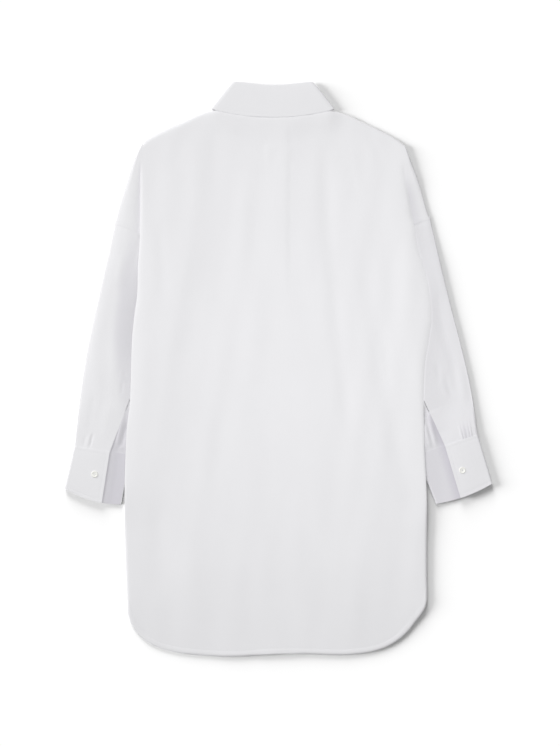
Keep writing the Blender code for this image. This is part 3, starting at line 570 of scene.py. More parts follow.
    def back(self, x: Array, y: Array) -> Array:
        """The height of the back: lofted, higher over the sleeves and up to the collar's edge.

        At the outline the cloth rolls down to the fronts as 1 - (1 - t)^n, and under the
        collar it comes down on the stand.

        Args:
            x: places across.
            y: places along the body.

        Returns:
            The height of the middle of the cloth.
        """
        out = self.outline
        lift = self.band_lift(y, CLOTH.button_band_lift, CLOTH.lift_at_hem[0])
        fronts = self.front(x, y, lift * ramp(y, *self.band_from_neck)) + CLOTH.layer_step
        fronts = fronts + CLOTH.hem_step * self.turned(x, y)
        fold = self.right_fold * ramp(y, *self.right_fold_from) * ramp(y, *self.right_fold_to)
        left_fold = self.left_fold * ramp(y, *self.right_fold_from) * ramp(y, *self.left_fold_to)
        edge = np.maximum(fronts, np.where(x > 0, fold, left_fold * ramp(x, -0.18, -0.21)))
        from_middle = np.abs(x - self.collar_middle)
        below = self.fall_edge(x) - y
        apron = self.apron * ramp(below, self.apron_reach, 0) * ramp(from_middle, *self.apron_out)
        crown = soft_max(self.base(x, y), apron)
        crown = crown + self.over_sleeves(x, y) + self.back_creases.height(x, y)
        crown = crown + self.uneven.at(x, y) + self.band_edge(x, y)
        hidden = ramp(-below, *self.under_fall) * ramp(from_middle, 0.125, 0.097)
        neck_level = mix(0.0051, CLOTH.back_over_stand, ramp(-below, 0.001, 0.008))
        crown = np.maximum(mix(crown, neck_level, hidden), fronts + self.clearance)
        unfolded = 1 - ramp(y, *self.side_fold)
        inside = [
            (hand.value * (out.side(y, hand) - x) / self.side_roll(y, hand), unfolded, power)
            for hand, power in self.side_power.items()
        ]
        inside.append((out.from_hem(x, y) / self.hem_roll, 0.0, self.hem_power))
        top = (out.top_height(x) - y) * self.neck_slope / self.top_roll
        inside.append((top, hidden, self.hem_power))
        rolled = [
            mix(1 - (1 - np.clip(part, 0, 1)) ** power, 1.0, free) for part, free, power in inside
        ]
        return mix(edge, crown, np.minimum.reduce(rolled))


LAY = Lay()


# ---- finishes


@dataclass(frozen=True)
class Shader:
    """A material's node tree under construction."""

    material: Material

    @classmethod
    def named(cls, name: str) -> "Shader":
        """A new material whose tree holds a Principled shader and the output."""
        material = bpy.data.materials.new(name)
        material.use_nodes = True
        return cls(material)

    @property
    def principled(self) -> Node:
        """The material's shader."""
        return self.material.node_tree.nodes["Principled BSDF"]

    def add(self, kind: str, **settings: object) -> Node:
        """Adds a node.

        Args:
            kind: the node's type, without its ShaderNode prefix.
            settings: properties by name, and values or outputs for its inputs, whose names
                have underscores for spaces.

        Returns:
            The node.
        """
        node = self.material.node_tree.nodes.new("ShaderNode" + kind)
        for name, value in settings.items():
            if hasattr(node, name):
                setattr(node, name, value)
            else:
                self.put(node, name.replace("_", " "), value)
        return node

    def put(self, node: Node, place: str | int, value: object) -> None:
        """Gives an input of a node a value, or joins an output to it."""
        if isinstance(value, Socket):
            self.material.node_tree.links.new(value, node.inputs[place])
        else:
            node.inputs[place].default_value = value

    def finish(self, **inputs: object) -> Material:
        """Sets inputs of the material's shader by name, and returns the material."""
        for name, value in inputs.items():
            self.put(self.principled, name.replace("_", " "), value)
        return self.material

    def maths(self, operation: str, *values: object) -> Socket:
        """A Math node of these inputs, and its output."""
        node = self.add("Math", operation=operation)
        for place, value in enumerate(values):
            self.put(node, place, value)
        return node.outputs[0]

    def noise(self, **settings: float) -> Socket:
        """Noise over the object's own coordinates."""
        place = self.add("TexCoord").outputs["Object"]
        return self.add("TexNoise", Vector=place, **settings).outputs["Fac"]

    def blend(
        self, share: Socket, first: Triple, second: Triple
    ) -> Socket:
        """A colour mixed of two by a share, through the colour sockets of a Mix node."""
        node = self.add("Mix", data_type="RGBA")
        for place, value in ((0, share), (6, (*first, 1)), (7, (*second, 1))):
            self.put(node, place, value)
        return node.outputs[2]


WAVE_SCALE = 2 * math.pi / 20  # a wave texture's scale times the period of its bands

@dataclass(frozen=True)
class PoplinFinish:
    """White cotton poplin: a fine plain weave whose crosswise ribs are a little coarser.

    The weave's height is a sine along the warp plus one along the weft, each with slubs, and
    follows the flat cloth, which the map named cloth holds in metres. Where the cloth lies in
    shade, under another layer, in hollows and beside the vents' edges, a darker and cooler colour
    is mixed in: painted shade.
    """

    name: str = "white_poplin"
    colour: Triple = (0.799, 0.797, 0.814)
    # painted shade: the darker, cooler colour mixed in where the cloth lies in shade
    painted_shade_colour: Triple = (0.545, 0.527, 0.587)
    roughness: float = 0.82
    sheen: float = 0.12
    warp: float = 0.00032
    weft: float = 0.00052
    thread_height: float = 0.000012
    slub_height: float = 0.00002

    def build(self) -> Material:
        """The material."""
        shader = Shader.named(self.name)
        place = shader.add("UVMap", uv_map="cloth").outputs[0]
        ribs = [
            shader.add(
                "TexWave",
                wave_type="BANDS",
                bands_direction=direction,
                Vector=place,
                Scale=WAVE_SCALE / period,
                Distortion=0.6,
                Detail=1.0,
                Detail_Scale=0.02,
            ).outputs["Fac"]
            for direction, period in (("X", self.warp), ("Y", self.weft))
        ]
        slubs = []
        for stretch in ((900.0, 28.0, 1.0), (24.0, 700.0, 1.0)):
            spread = shader.add("Mapping", Vector=place, Scale=stretch).outputs[0]
            noise = shader.add("TexNoise", Vector=spread, Scale=1.0, Detail=2.0, Roughness=0.5)
            slubs.append(noise.outputs["Fac"])
        threads = shader.maths("MULTIPLY", shader.maths("ADD", *ribs), self.thread_height)
        unevenness = shader.maths("MULTIPLY", shader.maths("ADD", *slubs), self.slub_height)
        height = shader.maths("ADD", threads, unevenness)
        bump = shader.add("Bump", Strength=1.0, Distance=1.0, Height=height)
        self._colour(shader, slubs)
        return shader.finish(
            Normal=bump.outputs[0],
            Sheen_Weight=self.sheen,
            Sheen_Roughness=0.6,
            Specular_IOR_Level=0.25,
        )

    def _colour(self, shader: Shader, slubs: list[Socket]) -> None:
        """Mixes in the darker, cooler colour of the painted shade, and lets the slubs vary colour
        and roughness.
        """
        # the point attribute holds each point's share of painted shade
        inner = shader.add("Attribute", attribute_name="painted_shade").outputs["Fac"]
        cloudy = shader.noise(Scale=9.0, Detail=3.0, Roughness=0.55)
        spread = shader.maths("ADD", shader.maths("MULTIPLY", slubs[0], 0.5), cloudy)
        shade = shader.add(
            "MapRange", Value=spread, From_Min=0.35, From_Max=1.15, To_Min=0.985, To_Max=1.012
        )
        toned = shader.add("VectorMath", operation="SCALE", Scale=shade.outputs[0])
        shader.put(toned, 0, shader.blend(inner, self.colour, self.painted_shade_colour))
        rough = shader.maths("MULTIPLY_ADD", slubs[1], 0.1, self.roughness - 0.05)
        shader.finish(Base_Color=toned.outputs[0], Roughness=rough)


@dataclass(frozen=True)
class ThreadFinish:
    """White sewing thread: smoother than the cloth, with the fine ridges of its twist."""

    name: str = "white_thread"
    colour: Triple = (0.8, 0.8, 0.82)
    roughness: float = 0.55
    twist: float = 0.00035

    def build(self) -> Material:
        """The material."""
        shader = Shader.named(self.name)
        ridges = shader.add(
            "TexWave",
            wave_type="BANDS",
            bands_direction="DIAGONAL",
            Vector=shader.add("TexCoord").outputs["Object"],
            Scale=WAVE_SCALE / self.twist,
        ).outputs["Fac"]
        bump = shader.add("Bump", Strength=0.5, Distance=0.00002, Height=ridges)
        return shader.finish(
            Normal=bump.outputs[0],
            # the low parts between the twist's ridges are 5% darker: painted shade in the grooves
            Base_Color=shader.blend(ridges, [c * 0.95 for c in self.colour], self.colour),
            Roughness=self.roughness,
            Sheen_Weight=0.2,
        )


@dataclass(frozen=True)
class PearlFinish:
    """Pearl-white resin: glossy, with soft swirls of warmer and cooler white."""

    name: str = "pearl_button"
    warm: Triple = (0.87, 0.86, 0.81)
    cool: Triple = (0.84, 0.85, 0.82)
    roughness: float = 0.36

    def build(self) -> Material:
        """The material."""
        shader = Shader.named(self.name)
        swirl = shader.noise(Scale=240.0, Detail=2.0, Roughness=0.5, Distortion=1.6)
        return shader.finish(
            Base_Color=shader.blend(swirl, self.warm, self.cool),
            Roughness=shader.maths("MULTIPLY_ADD", swirl, 0.12, self.roughness - 0.06),
            Coat_Weight=0.3,
            Coat_Roughness=0.08,
        )


# ---- meshes


@dataclass
class Patch:
    """A grid of points on a sheet of cloth, rows by columns.

    doubled is 1 where the cloth is turned in and so twice as thick, inner is the share of painted
    shade, a darker and cooler colour painted where the cloth lies in shade, and flat is each
    point's place on the flat cloth, which is its plan where none is given.
    """

    points: Array
    doubled: Array | float = 0.0
    inner: Array | float = 0.0
    flat: Array | None = None

    def __post_init__(self) -> None:
        """Takes the plan where no flat cloth is given."""
        if self.flat is None:
            self.flat = self.points[..., :2]

    def per_point(self, values: Array | float) -> Array:
        """One value for each point, in the order of the points."""
        return np.broadcast_to(values, self.points.shape[:2]).reshape(-1)


@dataclass
class MeshData:
    """Points, faces and the maps of a mesh, as arrays."""

    points: list[Array] = field(default_factory=list)
    faces: list[Array] = field(default_factory=list)
    count: int = 0

    def add(self, points: Array, *faces: Array) -> None:
        """Adds points and the faces between them, whose corners count from the first of them."""
        flat = points.reshape(-1, 3)
        self.points.append(flat)
        self.faces.extend(face + self.count for face in faces)
        self.count += len(flat)

    def build(self, name: str, finish: Material) -> Object:
        """Makes the mesh, shaded smooth, and its object.

        Args:
            name: the piece's name.
            finish: its material.

        Returns:
            The piece.
        """
        mesh = bpy.data.meshes.new(name)
        corners = np.concatenate([face.reshape(-1) for face in self.faces])
        sides = np.concatenate([np.full(len(face), face.shape[1]) for face in self.faces])
        fill_mesh(mesh, np.concatenate(self.points), corners, sides)
        mesh.shade_smooth()
        mesh.materials.append(finish)
        return add_object(name, mesh)


def fill_mesh(mesh: Mesh, points: Array, corners: Array, sides: Array) -> None:
    """Puts points and faces into an empty mesh.

    Args:
        mesh: the mesh.
        points: the points, one a row.
        corners: the points' numbers, face after face.
        sides: how many corners each face has.
    """
    mesh.vertices.add(len(points))
    mesh.vertices.foreach_set("co", points.astype(np.float32).reshape(-1))
    mesh.loops.add(len(corners))
    mesh.loops.foreach_set("vertex_index", corners.astype(np.int32))
    mesh.polygons.add(len(sides))
    starts = np.concatenate([[0], np.cumsum(sides)[:-1]])
    mesh.polygons.foreach_set("loop_start", starts.astype(np.int32))
    mesh.update(calc_edges=True)


def add_object(name: str, data: bpy.types.ID) -> Object:
    """Adds an object of a mesh, a light or a camera at the origin."""
    added = bpy.data.objects.new(name, data)
    bpy.context.scene.collection.objects.link(added)
    return added


def grid_faces(rows: int, columns: int, closed: bool = False) -> Array:
    """The four-sided faces of a grid of points.

    Args:
        rows: how many rows of points.
        columns: how many columns.
        closed: whether the last column joins the first.

    Returns:
        The corners of each face.
    """
    index = np.arange(rows * columns).reshape(rows, columns)
    if closed:
        index = np.concatenate([index, index[:, :1]], axis=1)
    faces = [index[:-1, :-1], index[1:, :-1], index[1:, 1:], index[:-1, 1:]]
    return np.stack(faces, axis=-1).reshape(-1, 4)


def mark_border(mesh: Mesh) -> None:
    """Marks the edges that only one face has as sharp, so that the wall's rim stays crisp."""
    edges = np.empty(len(mesh.loops), dtype=np.int32)
    mesh.loops.foreach_get("edge_index", edges)
    border = np.bincount(edges, minlength=len(mesh.edges)) == 1
    mesh.edges.foreach_set("use_edge_sharp", border)


WALL_LEVELS = 8  # steps between the single wall and the doubled one


def make_sheet(
    name: str,
    patches: Sequence[Patch],
    wall: float,
    doubled_wall: float,
    finish: Material,
) -> Object:
    """One sheet of cloth: patches joined where they share points, given the wall of the cloth.

    Args:
        name: the piece's name.
        patches: its grids.
        wall: the wall of the single cloth.
        doubled_wall: the wall where the cloth is turned in.
        finish: its material.

    Returns:
        The piece.
    """
    points = np.concatenate([patch.points.reshape(-1, 3) for patch in patches])
    flat = np.concatenate([patch.flat.reshape(-1, 2) for patch in patches])
    # each point's share of painted shade
    inner = np.concatenate([patch.per_point(patch.inner) for patch in patches])
    doubled = np.concatenate([patch.per_point(patch.doubled) for patch in patches])
    starts = np.cumsum([0] + [patch.points[..., 0].size for patch in patches])
    faces = np.concatenate([grid_faces(*p.points.shape[:2]) + s for p, s in zip(patches, starts)])
    keys = np.round(points * 1e6).astype(np.int64)
    first, merged = np.unique(keys, axis=0, return_index=True, return_inverse=True)[1:]
    corners = merged.reshape(-1)[faces]
    kept = corners != np.roll(corners, 1, axis=1)
    whole = kept.sum(axis=1) > 2
    corners, kept, faces = corners[whole], kept[whole], faces[whole]
    mesh = bpy.data.meshes.new(name)
    fill_mesh(mesh, points[first], corners[kept], kept.sum(axis=1))
    cloth_map = mesh.uv_layers.new(name="cloth")
    cloth_map.data.foreach_set("uv", flat[faces[kept]].astype(np.float32).reshape(-1))
    # the share of painted shade per point, which the cloth's material reads
    side = mesh.attributes.new("painted_shade", "FLOAT", "POINT")
    side.data.foreach_set("value", inner[first].astype(np.float32))
    shape = bmesh.new()
    shape.from_mesh(mesh)
    bmesh.ops.recalc_face_normals(shape, faces=shape.faces)
    shape.to_mesh(mesh)
    shape.free()
    mesh.shade_smooth()
    mark_border(mesh)
    mesh.materials.append(finish)
    piece = add_object(name, mesh)
    solid = piece.modifiers.new("wall", "SOLIDIFY")
    solid.thickness = doubled_wall
    solid.offset = 0
    group = piece.vertex_groups.new(name="wall")
    solid.vertex_group = group.name
    levels = np.round(doubled[first] * WALL_LEVELS).astype(int)
    for level in range(WALL_LEVELS + 1):
        share = mix(wall, doubled_wall, level / WALL_LEVELS) / doubled_wall
        group.add(np.flatnonzero(levels == level).tolist(), float(share), "REPLACE")
    return piece


def flat_area(patches: Sequence[Patch]) -> float:
    """The area of a sheet: the sum of half the cross products of its faces' diagonals."""
    total = 0.0
    for patch in patches:
        p = patch.points
        first, second = p[1:, 1:] - p[:-1, :-1], p[1:, :-1] - p[:-1, 1:]
        total += 0.5 * np.linalg.norm(np.cross(first, second), axis=-1).sum()
    return float(total)


# ---- sewing


@dataclass(frozen=True)
class Stitches:
    """Rows of lockstitch: short lengths of thread whose ends dip into the cloth.

    Each is a tube of flattened rings: along it the radius rises from an end as a half sine to a
    power, and its height falls off with the square of the distance from its middle.
    """

    length: float = 0.0024
    gap: float = 0.0006
    width: float = 0.00042
    height: float = 0.00034
    dip: float = 0.0002
    rings: int = 6
    around: int = 6

    def along(self, data: MeshData, path: Array, normals: Array) -> None:
        """Adds a row of stitches along a path on the cloth.

        Args:
            data: the mesh that takes them.
            path: points of the path on the outer face of the cloth.
            normals: the cloth's unit normals there.
        """
        run = run_along(path, 0)
        count = int(run[-1] / (self.length + self.gap))
        if count < 1:
            return
        centres = (np.arange(count) + 0.5) * run[-1] / count
        read = lambda values, at: np.stack([np.interp(at, run, values[:, i]) for i in range(3)], 1)
        middle, normal = read(path, centres), unit(read(normals, centres))
        way = unit(read(path, centres + 2 * STEP) - read(path, centres - 2 * STEP))
        self.place(data, middle, way, normal, self.length, self.width)

    def place(
        self, data: MeshData, middle: Array, way: Array, normal: Array, length: float, width: float
    ) -> None:
        """Adds one stitch at each middle.

        Args:
            data: the mesh that takes them.
            middle: the stitches' middles.
            way: the direction of each.
            normal: the cloth's normal at each.
            length: how long they are.
            width: how wide they are.
        """
        across = np.cross(normal, way)
        along = np.cos(np.linspace(math.pi, 0, self.rings))
        radius = np.clip(1 - along**4, 0.12, 1)
        turn = np.linspace(0, 2 * math.pi, self.around, endpoint=False)
        side = 0.5 * width * radius[:, None] * np.cos(turn)
        up = 0.5 * self.height * radius[:, None] * np.sin(turn) - self.dip * along[:, None] ** 2
        points = (
            middle[:, None, None]
            + way[:, None, None] * (0.5 * length * along)[None, :, None, None]
            + across[:, None, None] * side[None, ..., None]
            + normal[:, None, None] * up[None, ..., None]
        )
        tube = grid_faces(self.rings, self.around, closed=True)
        first = np.arange(self.around)[None]
        last = first[:, ::-1] + (self.rings - 1) * self.around
        starts = np.arange(len(middle))[:, None, None] * self.rings * self.around
        sets = [(starts + faces).reshape(-1, faces.shape[1]) for faces in (tube, first, last)]
        data.add(points, *sets)


@dataclass(frozen=True)
class Buttonhole:
    """A worked buttonhole: two rows of close bars beside a slit and a bar tack at each end."""

    length: float = 0.0165
    bar: float = 0.0011
    bar_step: float = 0.00036
    slit: float = 0.0005
    tack: float = 0.0026
    thread: Stitches = Stitches(height=0.0003, dip=0.00008, rings=4)

    def work(self, data: MeshData, middle: Array, way: Array, normal: Array) -> None:
        """Adds its bars.

        Args:
            data: the mesh that takes them.
            middle: the middle of the slit on the outer face of the cloth.
            way: the unit direction of the slit.
            normal: the cloth's unit normal.
        """
        across = np.cross(normal, way)
        count = round(self.length / self.bar_step)
        run = np.linspace(-self.length / 2, self.length / 2, count)[:, None]
        for hand in Hand:
            off = hand.value * (self.slit + self.bar) / 2
            middles = middle + way * run + across * off
            self._bars(data, middles, across, normal, self.bar)
        for end in (-1, 1):
            steps = np.linspace(0, 0.0011, 4)[:, None]
            middles = middle + way * end * (self.length / 2 + steps)
            self._bars(data, middles, across, normal, self.tack)

    def _bars(
        self, data: MeshData, middles: Array, way: Array, normal: Array, length: float
    ) -> None:
        """Adds parallel bars of thread."""
        ways, normals = np.broadcast_to(way, middles.shape), np.broadcast_to(normal, middles.shape)
        self.thread.place(data, middles, ways, normals, length, self.bar_step * 1.05)


STITCHES = Stitches()
BUTTONHOLE = Buttonhole()
TOPSTITCH_INSET = 0.006


def sew(data: MeshData, surface: Surface, u: Array, v: Array, lift: float) -> None:
    """Sews a row on a surface, lifted by half the wall, or less than 0 on a face looking down."""
    points, normals = on_surface(surface, u, v)
    facing = math.copysign(1.0, lift)
    STITCHES.along(data, points + normals * lift, normals * facing)


# ---- the body


@dataclass
class BodyRows:
    """The rows of the body's grids, from 0 at the shoulder to 1 at the hem.

    Two of them are where the folded sides come down to the armhole seams.
    """

    length: float = 0.7512
    step: float = 0.0036
    armhole: dict[Hand, float] = by_hand(0.19382, 0.17425)
    between: int = 6

    def __post_init__(self) -> None:
        """Works out the rows above, between and below the ends of the two armhole seams."""
        upper, lower = self.armhole[Hand.RIGHT], self.armhole[Hand.LEFT]
        shoulder = (0, 0.0004, 0.0012, 0.0026, 0.0045)
        top = lines(self.length * upper, self.step * 0.8, shoulder, (0.0015, 0))
        hem = [tenths / 1e4 for tenths in (105, 92, 84, 76, 68, 60, 46, 32, 20, 10, 4, 0)]
        bottom = lines(self.length * (1 - lower), self.step, (0, 0.0015), hem)[1:]
        between = np.linspace(upper, lower, self.between + 1)[1:]
        self.places = np.concatenate([top * upper, between, mix(lower, 1, bottom)])
        last = len(top) - 1
        self.armhole_row = {Hand.RIGHT: last, Hand.LEFT: last + self.between}

    def heights(self, top: Array, hem: Array) -> Array:
        """The height of each row in columns that run from top to hem."""
        return top + self.places[:, None] * (hem - top)


ROWS = BodyRows()


@dataclass(frozen=True)
class Armhole:
    """An armhole seam in plan, bowed upwards from its outer end to the underarm."""

    outer: Pair
    under: Pair
    bow: float = 0.0224

    def at(self, across: Array) -> tuple[Array, Array]:
        """x and y from the outer end (0) to the underarm (1)."""
        x, y = (mix(outer, under, across) for outer, under in zip(self.outer, self.under))
        return x, y + self.bow * arch(across)

    def share_at_side(self, hand: Hand) -> float:
        """How far along the seam the body's side crosses it."""
        across = np.linspace(0, 1, 201)
        x, y = self.at(across)
        return float(across[np.argmin(np.abs(x - OUTLINE.side(y, hand)))])

    def side_point(self, hand: Hand) -> list[float]:
        """The place in plan where the body's side crosses the seam."""
        x, y = self.at(np.array(self.share_at_side(hand)))
        return [float(x), float(y)]


ARMHOLES = {
    Hand.LEFT: Armhole((-0.2608, 0.2308), (-0.1496, 0.1268)),
    Hand.RIGHT: Armhole((0.2424, 0.2396), (0.1384, 0.1348)),
}


@dataclass
class ShoulderDrop:
    """The cloth beyond the folded side of the body, down to the armhole seam."""

    hand: Hand
    columns: int = 26
    step: float = 0.0009
    roll_share: float = 0.35
    bulge: float = 0.0022
    outer_level: float = 0.0031
    lean_power: float = 2.2
    # painted shade beside the body's fold: top, bottom, width and amount for each hand
    shades: dict[Hand, tuple[float, ...]] = by_hand(
        (0.335, 0.32, 0.4, 0.25), (0.33, 0.275, 0.8, 0.3)
    )

    @property
    def edge_level(self) -> float:
        """The height of the edge, two layers above the surface."""
        return CLOTH.floor_level + 2 * CLOTH.layer_step

    def plan(self, side_points: Array, inset: float) -> tuple[Array, Array, Array]:
        """The plan, from the outer contour (share 0) to just outside the body's side (1).

        The rows follow those of the body and come to the armhole seam; the columns are mixed
        between the contour and the side.

        Args:
            side_points: the points of the body's side down to the armhole.
            inset: how far the contour is moved in.

        Returns:
            x, y, and the share across.
        """
        sign, hole = self.hand.value, ARMHOLES[self.hand]
        side_x, side_y = side_points[:, 0], side_points[:, 1]
        share = lines(0.035, 0.0018, (0, 0.0003, 0.001, 0.0022), (0.0012, 0.0004, 0))
        seam_x = mix(hole.outer[0] - sign * inset, side_x[-1] + sign * self.step, share)
        seam_y = hole.at((seam_x - hole.outer[0]) / (hole.under[0] - hole.outer[0]))[1]
        down = ((side_y[0] - side_y) / (side_y[0] - side_y[-1]))[:, None]
        y = side_y[0] + down * (seam_y - side_y[0])
        contour = OUTLINE.drop_contour(y, self.hand) - sign * inset
        x = mix(contour, side_x[:, None] + sign * self.step, share)
        x[-1] = seam_x
        return x, y, share

    def across_level(self, share: Array, side_level: Array) -> Array:
        """The height across the drop from its contour (share 0) to the body's fold (share 1).

        On the left the cloth dips beside the body; on the right it leans down from the body's
        fold and then lies low.

        Args:
            share: the share across.
            side_level: the height of the body's side.

        Returns:
            The height of the middle of the cloth.
        """
        rolled = roll(share / self.roll_share)
        if self.hand is Hand.LEFT:
            full = CLOTH.hidden_sleeve + self.bulge * arch(share) / np.maximum(rolled, 0.3)
        else:
            full = mix(self.outer_level, side_level, share**self.lean_power)
        return mix(self.edge_level, full, rolled)

    def level(self, y: Array, share: Array, side_level: Array) -> Array:
        """The height: the body's own at the top, and the drop's full form further down."""
        side_level = side_level[:, None]
        upper = mix(self.edge_level, side_level, roll(share / self.roll_share))
        return mix(upper, self.across_level(share, side_level), ramp(y, *LAY.drop_fold))

    def joined(self, x: Array, y: Array, z: Array, side_points: Array) -> Patch:
        """The drop's grid with the body's side as its last column, so that they share it."""
        grid = np.concatenate([grid_of(x, y, z), side_points[:, None]], axis=1)
        grid[0] = side_points[0]
        down = ramp(np.linspace(0, 1, len(grid)), 0.9, 0.96)[:, None]
        share = np.linspace(0, 1, grid.shape[1])
        # painted shade: a darker, cooler colour on the columns next to the body's side, where its
        # shade falls
        top, bottom, width, amount = self.shades[self.hand]
        shade = amount * ramp(grid[..., 1], top, bottom) * ramp(share, 1 - width, 1)
        return Patch(grid, doubled=down * 0.3, inner=shade)


@dataclass
class BackPanel:
    """The back, in one piece with its dropped shoulders, and the sewing that shows on it."""

    finish: Material
    thread: Material
    column_step: float = 0.004
    hem_turn: float = 0.008
    groove: float = 0.00016
    pucker: float = 0.00014
    pucker_wave: float = 0.0105
    cut: Pair = (0.535, 0.9)

    def level(self, x: Array, y: Array) -> Array:
        """The height of the back, with the hem's stitched groove and its small puckers."""
        from_hem = OUTLINE.from_hem(x, y)
        groove = self.groove * bell(from_hem - self.hem_turn, 0.0009)
        near = bell(from_hem - self.hem_turn * 0.6, 0.009) * ramp(from_hem, 0, 0.002)
        turn = 2 * math.pi * x / self.pucker_wave + 1.7 * np.sin(x * 41) + 2.3 * np.sin(x * 17)
        puckers = self.pucker * near * np.sin(turn) * (0.6 + 0.4 * np.sin(x * 29))
        return LAY.back(x, y) - groove + puckers

    def surface(self, x: Array, y: Array) -> Array:
        """Points of the back at places in plan."""
        return grid_of(x, y, self.level(x, y))

    def patches(self) -> list[Patch]:
        """The body's grid and, beyond its folded sides, the two dropped shoulders."""
        edge = (0, 0.0004, 0.0012, 0.0024, 0.004, 0.006, 0.0085)
        across = lines(0.47, self.column_step, edge, edge[::-1])
        top_ends, hem_ends = OUTLINE.top["across"][[0, -1]], OUTLINE.hem["across"][[0, -1]]
        top = OUTLINE.top_height(mix(*top_ends, across))
        y = ROWS.heights(top, OUTLINE.hem_height(mix(*hem_ends, across)))
        x = mix(OUTLINE.side(y, Hand.LEFT), OUTLINE.side(y, Hand.RIGHT), across)
        body = self.surface(x, y)
        turned = 1 - ramp(OUTLINE.from_hem(x, y), self.hem_turn - 0.0006, self.hem_turn + 0.0004)
        grids = [Patch(body, doubled=turned)]
        for hand, column in ((Hand.LEFT, 0), (Hand.RIGHT, -1)):
            drop = ShoulderDrop(hand)
            side_points = body[: ROWS.armhole_row[hand] + 1, column]
            x, y, share = drop.plan(side_points, 0)
            grids.append(drop.joined(x, y, drop.level(y, share, side_points[:, 2]), side_points))
        return grids

    def build(self) -> None:
        """Makes the back and the stitches of its hem and armholes."""
        patches = self.patches()
        piece = make_sheet("back_panel", patches, CLOTH.wall, CLOTH.doubled_wall, self.finish)
        dress(piece, Slot.POPLIN, ["back"])
        flat_area(patches)
        data = MeshData()
        x = np.linspace(-0.2385, 0.2355, 900)
        sew(data, self.surface, x, self._hem_line(x), CLOTH.doubled_wall / 2)
        for patch in patches[1:]:
            self._armhole_stitches(data, patch.points)
        dress(data.build("stitching_back", self.thread), Slot.POPLIN, [])

    def _hem_line(self, x: Array) -> Array:
        """The height in plan of the line that is hem_turn from the hem, square to its slope."""
        return OUTLINE.hem_height(x) + self.hem_turn * np.sqrt(1 + OUTLINE.hem_slope(x) ** 2)

    def _armhole_stitches(self, data: MeshData, grid: Array) -> None:
        """Sews a row above the armhole seam, on a dropped shoulder's own grid."""
        path, normal = inside_edge(grid[-1, :-2], grid[-3, :-2], TOPSTITCH_INSET)
        STITCHES.along(data, path + normal * (CLOTH.wall / 2 + 0.0001), normal)


def dress(piece: Object, slot: Slot, nodes: Sequence[str]) -> None:
    """Attaches a piece to the body, hides the solids that it stands for and logs its points.

    Args:
        piece: the piece.
        slot: the record's finish; not used.
        nodes: the solids that it replaces.
    """
    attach(piece, BODY)
    if nodes:
        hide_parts(*nodes)
    log.info("%s: %d points", piece.name, len(piece.data.vertices))


# ---- the collar


@dataclass(frozen=True)
class CollarSizes:
    """Half of the collar, from the middle of the back to the front.

    For each station: the fold line, the free edge of the fall and the neck seam as distances
    from the collar's middle, the way round from the back (0) to the front (180 degrees), and
    the direction outwards in plan.
    """

    half: Table = Table(
        "fold_x fold_y edge_x edge_y seam_x seam_y turn out_x out_y",
        """0 .4543 0 .4028 0 .4164 0 0 0; .017 .4548 .0225 .4033 .019 .4166 0 0 0;
        .033 .4563 .045 .4053 .037 .4169 0 0 0; .048 .458 .068 .409 .054 .4171 0 0 0;
        .058 .459 .0885 .413 .067 .4173 0 0 0; .0608 .458 .095 .415 .07 .4175 45 .83 .56;
        .0612 .4572 .0956 .4152 .0704 .4175 90 .83 .56;
        .0612 .455 .095 .4128 .07 .4171 135 .83 .56; .059 .45 .0925 .403 .0688 .414 180 0 0;
        .051 .431 .0855 .382 .064 .397 180 0 0; .04 .411 .0775 .361 .055 .379 180 0 0;
        .028 .394 .0685 .34 .0405 .3625 180 0 0; .015 .383 .059 .322 .023 .352 180 0 0""",
    )
    middle: float = -0.0088
    throat: float = 0.3465
    ring_middle: float = 0.0033
    ring_radius: float = 0.0008
    fall_offset: float = 0.00175
    fall_rise: float = 0.0002

    def middle_at(self, seam_y: Array) -> Array:
        """The collar's middle, which lies a little to the left above the throat."""
        return self.middle * ramp(seam_y, self.throat, self.half["seam_y"][0])


COLLAR = CollarSizes()


